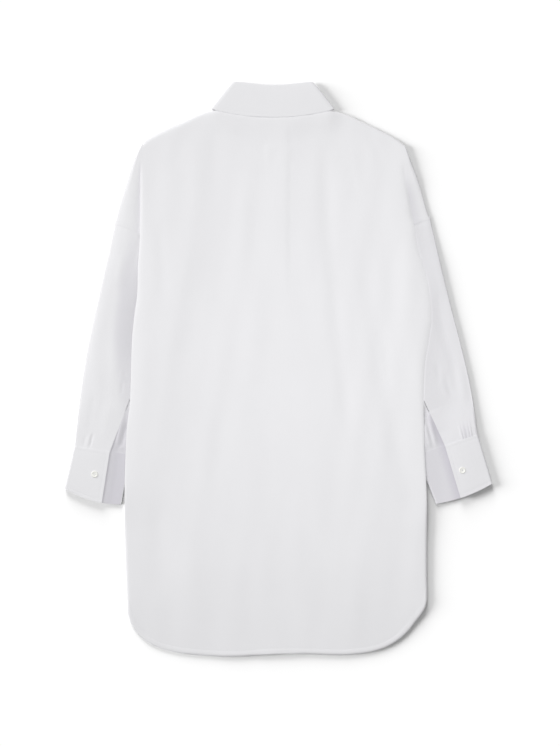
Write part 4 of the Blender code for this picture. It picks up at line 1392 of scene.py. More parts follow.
@dataclass
class Collar:
    """The collar: a stand round the neck and a fall that turns down over it."""

    finish: Material
    thread: Material
    per_station: int = 14
    stand_overlap: float = 0.012
    stand_end_rise: float = 0.004
    stand_end_span: Pair = (0.036, 0.0155)
    stand_ends: dict[Hand, float] = by_hand(0.0042, 0.0027)
    fall_cut: Pair = (0.47, 0.075)
    stand_cut: Pair = (0.42, 0.04)

    def whole(self) -> dict[str, Array]:
        """The collar's rows all the way round, from the right front by the back to the left.

        The stations of the table are read with a smooth curve.

        Returns:
            Each column's values at the rows, and the collar's middle there.
        """
        last = len(COLLAR.half["turn"]) - 1
        numbers = np.arange(2 * last + 1, dtype=float)
        at = np.round(np.linspace(0, 2 * last, 2 * last * self.per_station + 1), 6)
        whole = {}
        for name, values in COLLAR.half.columns.items():
            mirrored = -values if name.endswith("_x") else values
            both = np.concatenate([values[::-1], mirrored[1:]])
            whole[name] = smooth(at, numbers, both)[:, None]
        whole["middle"] = COLLAR.middle_at(whole["seam_y"])
        return whole

    def points(self, distance: Array, share: Array, offset: Array, end: str, rise: float) -> Array:
        """Points round the collar on a section that runs from the fold line to the end line.

        Args:
            distance: how far from the fold line, in metres.
            share: how far from it, as a share of the way to the end line.
            offset: how far from the stand's wall, as a share of the fall's.
            end: the end line's name in the table.
            rise: how far the end line is raised at the back.

        Returns:
            A grid with a row for each station.
        """
        rows = self.whole()
        turn = np.radians(rows["turn"])
        to_x = rows[end + "_x"] - rows["fold_x"]
        to_y = rows[end + "_y"] - rows["fold_y"]
        part = share + distance / np.hypot(to_x, to_y)
        off = COLLAR.ring_radius + COLLAR.fall_offset * offset
        off = off + rise * share * (1 - ramp(rows["turn"], 0, 90))
        out = off * np.sin(turn)
        x = rows["middle"] + rows["fold_x"] + part * to_x + out * rows["out_x"]
        y = rows["fold_y"] + part * to_y + out * rows["out_y"]
        return grid_of(x, y, COLLAR.ring_middle + off * np.cos(turn))

    def fall_grid(self) -> Array:
        """The fall: round the fold line by a half turn, then out to its edge with a soft crown."""
        turn = np.linspace(0, math.pi, 9)
        edge = [tenths / 1e4 for tenths in (74, 66, 60, 54, 46, 30, 16, 7, 3, 0)]
        share = lines(0.055, 0.0022, (0.0022, 0.0036), edge)
        distance = np.append(0.0016 - 0.0014 * np.sin(turn), 0.0016 * (1 - share))
        crown = 0.45 * np.sin(math.pi * share**0.7) * (1 - ramp(self.whole()["turn"], 45, 180))
        folded = 0.5 - 0.5 * np.cos(turn) + 0 * crown[:, :1]
        offset = np.concatenate([folded, 1 + crown], axis=1)
        shares = np.append(np.zeros_like(turn), share)
        return self.points(distance, shares, offset, "edge", COLLAR.fall_rise)

    def stand_grid(self) -> Array:
        """The stand, a band whose left end lies over its right one at the throat."""
        share = lines(0.036, 0.002, (0, 0.0003, 0.0008), (0.0008, 0.0003, 0))
        stand = self.points(0.0046 * (1 - share), share, np.zeros_like(share), "seam", 0)
        for hand, end in ((Hand.RIGHT, 0), (Hand.LEFT, -1)):
            at_end = ramp(hand.value * stand[..., 0], *self.stand_end_span)
            front = COLLAR.half["seam_y"][0] - 0.004 > stand[..., -1:, 1]
            at_end = at_end * front * (hand.value * stand[..., 0] > 0)
            stand[..., 2] = mix(stand[..., 2], self.stand_ends[hand], at_end)
            row = stand[end].copy()
            row[:, 0] = -hand.value * self.stand_overlap
            row[:, 1] += COLLAR.throat - COLLAR.half["seam_y"][-1] + self.stand_end_rise
            steps = np.linspace(0, 1, 14)[1:, None, None]
            added = mix(stand[end][None], row[None], steps)
            stand = np.concatenate([added[::-1], stand] if end == 0 else [stand, added])
        return stand

    def build(self) -> None:
        """Makes the stand, the fall and their topstitching."""
        stand, fall = self.stand_grid(), self.fall_grid()
        under_stand, under_fall = ["front_left", "front_right"], ["collar_stand", "back"]
        for name, node, grid, wall, cut, rests in (
            ("band", "stand", stand, CLOTH.stand_wall, self.stand_cut, under_stand),
            ("leaf", "fall", fall, CLOTH.fall_wall, self.fall_cut, under_fall),
        ):
            run, depth = run_along(grid, 0), run_along(grid, 1)
            patch = Patch(grid, flat=np.stack([run[:, :1] + 0 * depth, depth], axis=-1))
            piece = make_sheet(f"collar_{node}_{name}", [patch], wall, wall, self.finish)
            dress(piece, Slot.POPLIN, [f"collar_{node}"])
            area = min(flat_area([patch]), cut[0] * cut[1])
            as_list(rests)
        self._topstitch(fall)

    def _topstitch(self, grid: Array) -> None:
        """Sews a row inside the fall's free edge, on the face that looks outwards."""
        data = MeshData()
        path, normal = inside_edge(grid[:, -1], grid[:, -2], TOPSTITCH_INSET)
        normal = normal * np.where(self.whole()["turn"] > 90, -1.0, 1.0)
        STITCHES.along(data, path + normal * CLOTH.fall_wall / 2, normal)
        dress(data.build("stitching_collar", self.thread), Slot.POPLIN, [])


# ---- the fronts


@dataclass
class FrontPanel:
    """A front: from the side to its middle edge, with its dropped shoulder on the surface."""

    hand: Hand
    finish: Material
    inset: float = 0.0005
    neck_gap: float = 0.0016
    column_step: float = 0.0045
    near_side: float = 0.22
    bent_share: float = 0.6
    hem_turn: Pair = (0.0074, 0.0084)
    band_fold: Pair = (-0.0155, -0.0145)
    cut: Pair = (0.29, 0.89)
    creases: Creases = Creases(
        """-.11 .3 -.15 .08 .004 .012 .0009 .3; -.06 .12 -.08 -.16 -.003 .014 .0007 .3;
        -.15 -.18 -.13 -.36 .005 .012 .0008 .3; .09 .29 .14 .1 -.004 .013 .0009 .3;
        .07 .06 .085 -.2 .004 .012 .0007 .3; .16 -.2 .14 -.38 -.004 .012 .0008 .3"""
    )

    @property
    def middle_edge(self) -> float:
        """Where the front ends in the middle."""
        return 0.015 if self.hand is Hand.LEFT else 0.013

    @property
    def band_lifts(self) -> Pair:
        """How far the middle edge is lifted over the buttons and at the hem."""
        if self.hand is Hand.LEFT:
            return CLOTH.button_band_lift, CLOTH.lift_at_hem[0]
        return CLOTH.placket_lift, CLOTH.lift_at_hem[1]

    def top_height(self, x: Array) -> Array:
        """The upper edge: the back's shoulders, then the neck seam down to the throat."""
        front = COLLAR.half["turn"] == 180
        seam_x, seam_y = COLLAR.half["seam_x"][front], COLLAR.half["seam_y"][front]
        middle = COLLAR.middle_at(seam_y)
        neck_x = np.concatenate([middle - seam_x, [0], (middle + seam_x)[::-1]])
        neck_y = np.concatenate([seam_y, [COLLAR.throat], seam_y[::-1]])
        at_neck = (x > neck_x[0]) & (x < neck_x[-1])
        neck = smooth(x, neck_x, neck_y) - self.neck_gap
        return np.where(at_neck, neck, OUTLINE.top_height(x) - self.inset)

    def level(self, x: Array, y: Array) -> Array:
        """The height of the front, whose creases rise from the surface under the back."""
        creases = np.maximum(self.creases.height(x, y), 0)
        level = LAY.front(x, y, LAY.band_lift(y, *self.band_lifts))
        level = level + creases * (1 - LAY.sleeve_lift(x, y)) + CLOTH.hem_rise * LAY.turned(x, y)
        if self.hand is Hand.RIGHT:
            level = level + CLOTH.band_over_placket * ramp(np.abs(x), 0.02, 0.0165)
        return level

    def patches(self) -> list[Patch]:
        """The front's grid and its dropped shoulder.

        The columns follow the side near to it, bend less and less, and are straight in the middle.
        """
        edge = (0, 0.0004, 0.0012, 0.0026, 0.0045)
        near = lines(0.47 * self.near_side, self.column_step, edge, (0.001, 0)) * self.near_side
        across = near if self.hand is Hand.LEFT else 1 - near
        top_ends, hem_ends = OUTLINE.top["across"][[0, -1]], OUTLINE.hem["across"][[0, -1]]
        top_x, hem_x = mix(*top_ends, across), mix(*hem_ends, across)
        first = 0.5 * (top_x[-1] + hem_x[-1])
        to_middle, end = abs(first - self.middle_edge), (0.0025, 0.001, 0.0004, 0)
        share = lines(to_middle, self.column_step * 0.8, (0, 0.002), end)[1:]
        inner = mix(first, self.middle_edge, share)
        bend = np.clip(1 - share / self.bent_share, 0, 1)
        top = self.top_height(np.append(top_x, inner + (top_x[-1] - first) * bend))
        hem = OUTLINE.hem_height(np.append(hem_x, inner + (hem_x[-1] - first) * bend)) + self.inset
        y = ROWS.heights(top, hem)
        near_y = y[:, : len(near)]
        left = OUTLINE.side(near_y, Hand.LEFT) + self.inset
        right = OUTLINE.side(near_y, Hand.RIGHT) - self.inset
        x = mix(left, right, across)
        x = np.concatenate([x, inner + (x[:, -1:] - first) * bend], axis=1)
        front = grid_of(x, y, self.level(x, y))
        turned = 1 - ramp(OUTLINE.from_hem(x, y), *self.hem_turn)
        if self.hand is Hand.LEFT:
            turned = np.maximum(turned, ramp(x, *self.band_fold))
        side_points = front[: ROWS.armhole_row[self.hand] + 1, 0]
        drop = ShoulderDrop(self.hand)
        x, y = drop.plan(side_points, self.inset)[:2]
        level = np.full_like(x, CLOTH.floor_level)
        return [Patch(front, doubled=turned), drop.joined(x, y, level, side_points)]

    def build(self) -> None:
        """Makes the front."""
        patches = self.patches()
        name = f"front_panel_{self.hand.label}"
        piece = make_sheet(name, patches, CLOTH.wall, CLOTH.doubled_wall, self.finish)
        dress(piece, Slot.POPLIN, [f"front_{self.hand.label}"])
        flat_area(patches)


@dataclass
class Placket:
    """The buttonhole band of the right front, its buttonholes and its two rows of stitches."""

    finish: Material
    thread: Material
    half_width: float = 0.015
    stitch_inset: float = 0.005
    wall: float = 0.001
    cut: Pair = (0.07, 0.81)

    def level(self, y: Array) -> Array:
        """The height of the middle of the band."""
        lift = LAY.band_lift(y, CLOTH.placket_lift, CLOTH.lift_at_hem[1])
        return CLOTH.floor_level + lift + 0.0001

    def surface(self, x: Array, y: Array) -> Array:
        """The band's middle."""
        return grid_of(x, y, self.level(y))

    def build(self) -> None:
        """Makes the band and its sewing, which shows on the face that looks down."""
        edge = (0, 0.0003, 0.0009)
        front = FrontPanel(Hand.RIGHT, self.finish)
        x = mix(-self.half_width, self.half_width, lines(0.03, 0.002, edge, edge[::-1]))
        y = ROWS.heights(front.top_height(x), OUTLINE.hem_height(x) + front.inset)
        grid = self.surface(x + 0 * y, y)
        patch = Patch(grid)
        piece = make_sheet("placket_band", [patch], self.wall, self.wall, self.finish)
        dress(piece, Slot.POPLIN, ["placket_right"])
        area = flat_area([patch])
        data = MeshData()
        for sign in (-1, 1):
            line = np.full(400, sign * (self.half_width - self.stitch_inset))
            start, end = front.top_height(line[:1]) - 0.004, OUTLINE.hem_height(line[:1]) + 0.002
            run = np.linspace(start[0], end[0], len(line))
            sew(data, self.surface, line, run, -self.wall / 2)
        down = np.array([0.0, 0.0, -1.0])
        for place in BUTTONS.front_places():
            middle = np.array([place[0], place[1], self.level(place[1]) - self.wall / 2])
            BUTTONHOLE.work(data, middle, np.array([0.0, 1.0, 0.0]), down)
        dress(data.build("stitching_placket", self.thread), Slot.POPLIN, [])


# ---- the sleeves and the cuffs


@dataclass(frozen=True)
class Vent:
    """A sleeve's vent: where along the sleeve it starts, its place across, and the gathers."""

    start: float
    across_start: float
    across_cuff: float
    upper_gathers: int
    lift: float = 0.0024
    lift_spread: float = 0.022
    lap: float = 0.016
    slit: float = 0.0008

    def across(self, down: Array) -> Array:
        """The overlap's edge across the sleeve."""
        return mix(self.across_start, self.across_cuff, down)


@dataclass(frozen=True)
class SleeveSizes:
    """One sleeve: its overarm and underarm edges from the armhole (0) to the cuff (1)."""

    edges: Table
    vent: Vent
    creases: Creases
    cuff_over: Pair
    cuff_under: Pair
    cuff_bow: float
    lap_edge: float
    button: Pair
    seed: int
    dip: Pair
    lean: float
    lean_span: float
    fullness: Table
    under_creases: Creases
    under_lean: float
    overlap_rise: float
    under_rise: float
    # painted shade: the underlap's from the body to the overlap's edge, the whole cuff's, and the
    # upper layer's beside the body
    shade_from: float
    shade_to: float
    cuff_shade: float
    roll_width: float
    shade: Table


SLEEVES = {
    Hand.LEFT: SleeveSizes(
        edges=Table(
            "along over_x over_y under_x under_y",
            """0 -.2608 .2308 -.1496 .1268; .2 -.2771 .1596 -.168 .0739;
            .4 -.293 .0884 -.1863 .0171; .6 -.3076 .0172 -.2034 -.0363;
            .8 -.3181 -.054 -.2196 -.0903; 1 -.3259 -.1252 -.2376 -.1388""",
        ),
        vent=Vent(0.66, 0.74, 0.634, 0),
        creases=Creases(
            """-.252 -.006 -.244 -.012 0 .0022 -.0005 .4; -.25 .002 -.246 -.03 .001 .003 .0005 .4;
            -.247 -.012 -.25 -.042 .001 .0024 -.0005 .35;
            -.286 .04 -.298 -.09 -.003 .009 .0004 .4; -.29 -.03 -.304 -.106 .002 .006 -.0004 .35;
            -.272 -.05 -.278 -.118 .001 .008 .0004 .4;
            -.302 -.127 -.296 -.1 .0005 .0019 -.0007 .3;
            -.3115 -.125 -.309 -.104 .0005 .0022 -.0004 .35;
            -.3065 -.126 -.301 -.1 .0005 .002 .0003 .35;
            -.248 .19 -.256 .13 .001 .006 .0004 .35"""
        ),
        cuff_over=(-0.3411, -0.1903),
        cuff_under=(-0.252, -0.2156),
        cuff_bow=-0.007,
        lap_edge=0.66,
        button=(-0.2936, -0.1676),
        seed=11,
        dip=(-0.002, 0.032),
        lean=0.0,
        lean_span=0.05,
        fullness=Table(
            "along bulge fold_radius",
            """0 .0022 .0007; .2 .004 .0016; .45 .005 .0018; .75 .0042 .0018; 1 .0026 .0021""",
        ),
        under_creases=Creases(
            """-.244 -.056 -.259 -.129 .001 .0036 .0012 .2;
            -.24 -.08 -.251 -.127 .001 .0022 -.001 .3; -.248 -.123 -.254 -.129 0 .003 .0006 .3"""
        ),
        under_lean=0.0000,
        overlap_rise=0.0004,
        under_rise=0.0013,
        shade_from=0.62,
        shade_to=0.45,
        cuff_shade=0.0,
        roll_width=0.019,
        shade=Table(
            "along amount reach",
            """0 .05 .02; .12 .22 .024; .25 .32 .034; .4 .32 .034; .55 .22 .028; .7 .16 .02;
            .8 0 .02""",
        ),
    ),
    Hand.RIGHT: SleeveSizes(
        edges=Table(
            "along over_x over_y under_x under_y",
            """0 .2424 .2396 .1384 .1348; .2 .2585 .1704 .1566 .0803; .4 .2754 .1013 .1736 .0255;
            .6 .2932 .0321 .1895 -.03; .8 .3086 -.037 .2024 -.084; 1 .3184 -.1062 .2216 -.1396""",
        ),
        vent=Vent(0.735, 0.677, 0.537, 4),
        creases=Creases(
            """.252 .13 .276 .01 .003 .009 -.0007 .3; .274 .05 .29 -.06 .002 .008 -.0006 .35;
            .252 .012 .262 -.024 .002 .0045 -.0004 .35; .256 -.006 .274 -.048 .002 .004 .0003 .35;
            .264 0 .28 -.05 .001 .0045 -.0004 .35; .29 .02 .3 -.07 .002 .008 .0005 .4;
            .258 .2 .268 .11 .001 .007 .0004 .4"""
        ),
        cuff_over=(0.3414, -0.1826),
        cuff_under=(0.2526, -0.2148),
        cuff_bow=-0.0048,
        lap_edge=0.57,
        button=(0.2936, -0.1612),
        seed=12,
        dip=(-0.005, 0.0006),
        lean=0.0025,
        lean_span=0.05,
        fullness=Table(
            "along bulge fold_radius",
            """0 .0026 .0007; .2 .0028 .0014; .45 .0029 .0015; .75 .0028 .0015; 1 .0024 .0021""",
        ),
        under_creases=Creases(
            """.2376 -.056 .2536 -.129 .001 .0032 .0012 .25;
            .2328 -.082 .244 -.129 .001 .0028 .0012 .25;
            .236 -.074 .249 -.127 .001 .0016 -.0008 .3; .229 -.102 .237 -.128 0 .0024 .001 .3"""
        ),
        under_lean=0.0017,
        overlap_rise=0.0008,
        under_rise=0.0,
        shade_from=0.36,
        shade_to=0.74,
        cuff_shade=0.06,
        roll_width=0.01,
        shade=Table(
            "along amount reach",
            """0 .1 .09; .1 .14 .09; .4 .15 .09; .75 .13 .1; 1 .13 .13""",
        ),
    ),
}

FOLD_ANGLE = np.radians(np.linspace(78, -78, 9))
FOLD_IN = 1 - np.cos(FOLD_ANGLE)
FOLD_UP = np.sin(FOLD_ANGLE) / math.sin(FOLD_ANGLE[0])


@dataclass
class Cuff:
    """A barrel cuff: a band rolled flat, its buttonhole end lapped over its button end."""

    hand: Hand
    finish: Material
    thread: Material
    depth: float = 0.08
    width: float = 0.09
    lap: float = 0.025
    crown: float = 0.0006
    pillow: float = 0.00025
    groove: float = 0.00012
    lower: float = 0.0007
    underlap: float = 0.0022
    overlap: float = 0.0052
    tuck: float = 0.0022
    clearance: float = 1.1
    stitch_inset: float = 0.005
    cut: Pair = (0.23, 0.094)

    @property
    def sizes(self) -> SleeveSizes:
        """This side's sizes."""
        return SLEEVES[self.hand]

    def plan(self, across: Array, down: Array) -> tuple[Array, Array]:
        """The plan, from overarm (0) to underarm (1) and from the seam (0) to the edge (1)."""
        seam_x, seam_y = Sleeve.plan(self.hand, np.ones_like(across), across)
        (over_x, over_y), (under_x, under_y) = self.sizes.cuff_over, self.sizes.cuff_under
        edge_x = mix(over_x, under_x, across)
        edge_y = mix(over_y, under_y, across) + self.sizes.cuff_bow * arch(across)
        down = mix(-self.tuck / self.depth, 1, down)
        return mix(seam_x, edge_x, down), mix(seam_y, edge_y, down)

    def lap_end(self, down: Array) -> Array:
        """Where across the cuff the buttonhole end lies."""
        return mix(self.sizes.vent.across_cuff, self.sizes.lap_edge, down)

    def upper(self, part: Array, down: Array) -> Array:
        """Points of the upper layer, from the overarm fold (0) to the lapped end (1)."""
        first = self.clearance * 0.5 * (self.overlap - self.lower) / self.width
        across = mix(first, self.lap_end(down), part)
        x, y = self.plan(across, down)
        pillow = np.sin(math.pi * np.clip(down, 0, 1)) * np.sin(math.pi * np.clip(part, 0, 1))
        level = self.overlap + self.crown * np.sin(math.pi * part) * (1 - down)
        level = level + self.pillow * pillow
        level = level + self.sizes.overlap_rise * part
        from_lap = (1 - part) * (self.lap_end(down) - first) * self.width
        from_edges = (from_lap, (1 - down) * self.depth, down * self.depth)
        grooves = [bell(distance - self.stitch_inset, 0.0008) for distance in from_edges]
        return grid_of(x, y, level - self.groove * np.maximum.reduce(grooves))

    def patch(self) -> Patch:
        """The whole band, as a grid from the lapped end round the arm to the button end."""
        edge = (0, 0.0003, 0.0009, 0.002, 0.0036, 0.0043, 0.005, 0.0057, 0.0066)
        down = lines(self.depth, 0.0028, edge, edge[::-1])[:, None]
        over, under = 0.5 * (self.overlap - self.lower), 0.5 * (self.underlap - self.lower)
        over_fold = self.clearance * over / self.width
        under_fold = 1 - self.clearance * under / self.width
        part = 1 - lines(0.055, 0.0022, edge, (0.0012, 0))
        inwards = lines(0.05, 0.0022, (0, 0.0012), (0.002, 0.0009, 0.0003, 0))
        layers = [
            (FOLD_IN * over / self.width, self.lower + over * (1 + FOLD_UP)),
            (np.linspace(over_fold, under_fold, 26), self.lower),
            (1 - FOLD_IN * under / self.width, self.lower + under * (1 - FOLD_UP)),
            (mix(under_fold, self.lap_end(down) - self.lap / self.width, inwards), self.underlap),
        ]
        grids = [self.upper(part + 0 * down, down + 0 * part)]
        sleeve = Sleeve(self.hand, self.finish)
        for number, (across, level) in enumerate(layers):
            across = across + np.zeros_like(down)
            x, y = self.plan(across, down + 0 * across)
            if number == 3:
                edge_x = self.plan(self.lap_end(down), down)[0]
                near = ramp(self.hand.value * (edge_x - x), 0.016, 0.001)
                level = level + sleeve.lean_under(x, y) * ramp(down, 1.6, 0.2)
                level = level + self.sizes.under_rise * near
            grids.append(grid_of(x, y, level))
        grid = np.concatenate(grids, axis=1)
        # painted shade: a little over the whole cuff, and on the underlap a share that changes
        # towards the overlap's edge
        inner = np.full(grid.shape[:2], self.sizes.cuff_shade)
        inner[:, -len(inwards) :] = mix(self.sizes.shade_from, self.sizes.shade_to, near)
        run = run_along(grid, 1)
        return Patch(grid, inner=inner, flat=np.stack([run, down * self.depth + 0 * run], -1))

    def build(self) -> None:
        """Makes the cuff, its topstitching and its buttonhole."""
        patch = self.patch()
        wall = CLOTH.cuff_wall
        piece = make_sheet(f"cuff_band_{self.hand.label}", [patch], wall, wall, self.finish)
        dress(piece, Slot.POPLIN, [f"cuff_{self.hand.label}"])
        rests = ["floor", f"sleeve_{self.hand.label}"]
        area = min(flat_area([patch]), self.cut[0] * self.cut[1])
        data = MeshData()
        inset, length = self.stitch_inset / self.depth, 0.055
        near_lap, near_fold = 1 - self.stitch_inset / length, 0.03
        path_part = [(near_fold, near_lap), (near_lap, near_lap), (near_lap, near_fold)]
        path_down = [(inset, inset), (inset, 1 - inset), (1 - inset, 1 - inset)]
        for ends, downs in zip(path_part, path_down):
            sew(data, self.upper, np.linspace(*ends, 80), np.linspace(*downs, 80), wall / 2)
        BUTTONHOLE_CUFF.work(data, *self.buttonhole())
        dress(data.build(f"stitching_cuff_{self.hand.label}", self.thread), Slot.POPLIN, [])

    def buttonhole(self) -> tuple[Array, Array, Array]:
        """The middle, the direction and the normal of the buttonhole, under the button."""
        x, y = self.sizes.button
        (over_x, over_y), (under_x, under_y) = self.sizes.cuff_over, self.sizes.cuff_under
        way = unit(np.array([under_x - over_x, under_y - over_y, 0.0]))
        level = self.overlap + self.crown * 0.5 + CLOTH.cuff_wall / 2
        return np.array([x, y, level]), way, np.array([0.0, 0.0, 1.0])


BUTTONHOLE_CUFF = Buttonhole(length=0.021, thread=Stitches(height=0.00045, dip=0.00008, rings=4))


@dataclass
class Sleeve:
    """A sleeve: one sheet rolled into a flat tube, closed down to its vent and open beyond it."""

    hand: Hand
    finish: Material
    seam_reach: float = 0.22
    tuck: float = 0.013
    tuck_drop: float = 0.00045
    clearance: float = 1.1
    cuff_meeting: float = 0.005
    cuff_crown: float = 0.0006
    underlap_end: float = 0.0022
    gather_rise: float = 0.0009
    # painted shade: the underlap's share far from the overlap's edge, and the amount between the
    # gathers
    far_painted_shade: float = 0.7
    upper_zone: Pair = (0.15, 0.49)
    hollow_painted_shade: float = 0.34
    cut: Pair = (0.36, 0.46)

    @property
    def sizes(self) -> SleeveSizes:
        """This side's sizes."""
        return SLEEVES[self.hand]

    @staticmethod
    def edges(hand: Hand, along: Array) -> list[Array]:
        """x and y of the overarm edge and of the underarm edge at places along the sleeve."""
        rows = SLEEVES[hand].edges
        return [rows.curve(along, name) for name in ("over_x", "over_y", "under_x", "under_y")]

    @staticmethod
    def plan(hand: Hand, along: Array, across: Array) -> tuple[Array, Array]:
        """The plan: mixed between the two edges, bowed upwards near the armhole."""
        over_x, over_y, under_x, under_y = Sleeve.edges(hand, along)
        bow = ARMHOLES[hand].bow * np.clip(1 - along / 0.6, 0, 1) ** 2
        return mix(over_x, under_x, across), mix(over_y, under_y, across) + bow * arch(across)

    def width(self, along: Array) -> Array:
        """The flat width of the tube."""
        over_x, over_y, under_x, under_y = self.edges(self.hand, along)
        return np.hypot(under_x - over_x, under_y - over_y)

    def fold_radius(self, along: Array) -> Array:
        """The radius of the overarm fold."""
        return self.sizes.fullness.curve(along, "fold_radius")

    def beside(self, x: Array, y: Array) -> Array:
        """How far outside the body's side places are."""
        return self.hand.value * (x - OUTLINE.side(y, self.hand))

    def seam_level(self, share: Array) -> Array:
        """The height along the visible armhole seam, from its outer end to the body's side."""
        side = np.array([[ARMHOLES[self.hand].side_point(self.hand)]])
        side_level = float(LAY.back(side[..., 0], side[..., 1])[0, 0])
        return ShoulderDrop(self.hand).across_level(share, side_level)

    def upper_level(self, along: Array, across: Array) -> Array:
        """The upper layer: rolled at the overarm, full beside the body, low under it."""
        x, y = self.plan(self.hand, along, across)
        sizes, shown = self.sizes, across * self.width(along)
        bulge = sizes.fullness.curve(along, "bulge")
        edge = CLOTH.floor_level + 2 * self.fold_radius(along)
        beside = self.beside(x, y)
        lean = 1 - (1 - np.clip(beside / sizes.lean_span, 0, 1)) ** 2
        rise = np.clip((beside - sizes.dip[0]) / (sizes.dip[1] - sizes.dip[0]), 0, 1)
        rise = 1 - (1 - rise) ** 1.6 if self.hand is Hand.LEFT else ramp(rise, 0, 1)
        full = CLOTH.hidden_sleeve + bulge * rise - sizes.lean * lean
        level = mix(edge, full, roll(shown / sizes.roll_width))
        share = np.clip(across / ARMHOLES[self.hand].share_at_side(self.hand), 0, 1)
        seam = mix(CLOTH.hidden_sleeve, self.seam_level(share), ramp(beside, -0.006, 0.0))
        level = mix(seam, level, ramp(along, 0, self.seam_reach))
        folds = sizes.creases.height(x, y) + Unevenness(sizes.seed).at(x, y)
        folds = folds * ramp(shown, 0, 0.01) * ramp(along, 0.004, 0.03)
        return level + folds - self.tuck_drop * ramp(along, 0.0085, 0.0005)

    def gathers(self, place: Array, count: int, zone: Pair) -> Array:
        """Ridges across a zone, 0 outside it: a raised cosine whose turns are a little uneven."""
        if not count:
            return np.zeros_like(place)
        start, end = zone
        part = np.clip((place - start) / (end - start), 0, 1)
        turns = (part + 0.06 * np.sin(2 * math.pi * part) * part * (1 - part) * 4) * count
        ridge = 0.5 - 0.5 * np.cos(2 * math.pi * turns)
        return ridge**0.55 * (0.75 + 0.25 * np.cos(5.1 * part + 0.6))

    def painted_hollows(self, part: Array, down: Array) -> Array:
        """Painted shade on the overlap between its gathers: a darker, cooler colour in the hollows.
        """
        start, end = self.upper_zone
        inside = ramp(part, start - 0.01, start + 0.04) * ramp(part, end + 0.01, end - 0.04)
        ridges = self.gathers(part, self.sizes.vent.upper_gathers, self.upper_zone)
        painted_amount = self.hollow_painted_shade * min(self.sizes.vent.upper_gathers, 1)
        return painted_amount * inside * (1 - ridges) * self.gather_growth(down)

    @staticmethod
    def gather_growth(down: Array) -> Array:
        """How full the gathers are down a vent: fullest above the cuff, pressed at its seam."""
        return ramp(down, 0.62, 0.93) * (1 - 0.75 * ramp(down, 0.95, 1.0))

    def underlap_level(self, down: Array) -> Array:
        """The layer under a vent, which comes down to the cuff's underlap."""
        return mix(CLOTH.hidden_sleeve, self.underlap_end, ramp(down, 0.55, 1.0))

    def lean_under(self, x: Array, y: Array) -> Array:
        """How the underlap leans down from the body to the foot of the overlap's edge."""
        beside = self.beside(x, y)
        return self.sizes.under_lean * ramp(beside, 0.03, -0.004) * ramp(beside, -0.03, -0.01)

    def shade(self, along: Array, points: Array) -> Array:
        """The painted shade on the upper layer where it stands hollow beside the body: a darker,
        cooler colour.
        """
        amount, reach = (self.sizes.shade.curve(along, name) for name in ("amount", "reach"))
        beside = self.beside(points[..., 0], points[..., 1])
        return amount * ramp(beside / reach, 1.15, 0.55)

    def near_edge(self, x: Array, y: Array, along: Array) -> Array:
        """1 at the foot of the overlap's edge and under it, 0 further than the shaded width."""
        down = np.clip((along - self.sizes.vent.start) / (1 - self.sizes.vent.start), 0, 1)
        edge_x = self.plan(self.hand, along, self.sizes.vent.across(down))[0]
        return ramp(self.hand.value * (edge_x - x), 0.013, 0.001)

    def overlap_layer(self, along: Array, down: Array, part: Array) -> tuple[Array, Array]:
        """The upper layer from the vent (part 1) to the overarm (part 0).

        Beside the vent it stands clear of the underlap, and above the cuff it is gathered.

        Args:
            along: rows along the sleeve.
            down: the same rows' share of the vent.
            part: columns from the vent's edge to the overarm.

        Returns:
            Places across the sleeve, and heights.
        """
        vent, width = self.sizes.vent, self.width(along)
        first = self.clearance * self.fold_radius(along) / width
        across = np.maximum(vent.across(down) * part, first)
        cuff_level = self.cuff_meeting + self.sizes.overlap_rise * part
        cuff_level = cuff_level + self.cuff_crown * np.sin(math.pi * part)
        level = mix(self.upper_level(along, across), cuff_level, ramp(down, 0.25, 1.0))
        clear = self.underlap_level(down) + vent.lift * ramp(down, 0, 0.32)
        short = np.clip(clear - level[:, :1], 0, None)
        from_vent = (1 - part) * vent.across(down) * width
        level = level + short * np.exp(-((from_vent / vent.lift_spread) ** 2))
        x, y = self.plan(self.hand, along + 0 * across, across)
        pleats = self.sizes.creases.height(x, y) * ramp(down, 0.55, 0.8) * ramp(down, 1, 0.97)
        ridges = self.gathers(part, vent.upper_gathers, self.upper_zone)
        return across, level + self.gather_rise * ridges * self.gather_growth(down) + pleats

    def underlap_layer(self, along: Array, down: Array, share: Array) -> tuple[Array, Array]:
        """The layer from the underarm (share 0) to just past the vent (share 1).

        Above the vent it meets the overlap's edge, so that the sleeve is closed there.

        Args:
            along: rows along the sleeve.
            down: the same rows' share of the vent.
            share: columns across the layer.

        Returns:
            Places across the sleeve, and heights.
        """
        vent, width = self.sizes.vent, self.width(along)
        slit = vent.slit * ramp(down, 0, 0.04) * ramp(down, 0.5, 0.25)
        lap = vent.lap * ramp(down, 0.22, 0.6) - slit
        end = vent.across(down) - lap / width
        radius = 0.5 * (self.underlap_level(down) - CLOTH.floor_level)
        across = mix(1 - radius / width, end, share)
        x, y = self.plan(self.hand, along + 0 * across, across)
        grown = ramp(down, 0.0, 0.35) * (1 - 0.7 * ramp(down, 0.96, 1.0))
        level = self.underlap_level(down) + self.sizes.under_creases.height(x, y) * grown
        level = level + self.lean_under(x, y) * ramp(down, 0.1, 0.6)
        level = level + self.sizes.under_rise * self.near_edge(x, y, along) * ramp(down, 0.0, 0.4)
        return across, mix(self.upper_level(along, across), level, ramp(down, 0.0, 0.26))

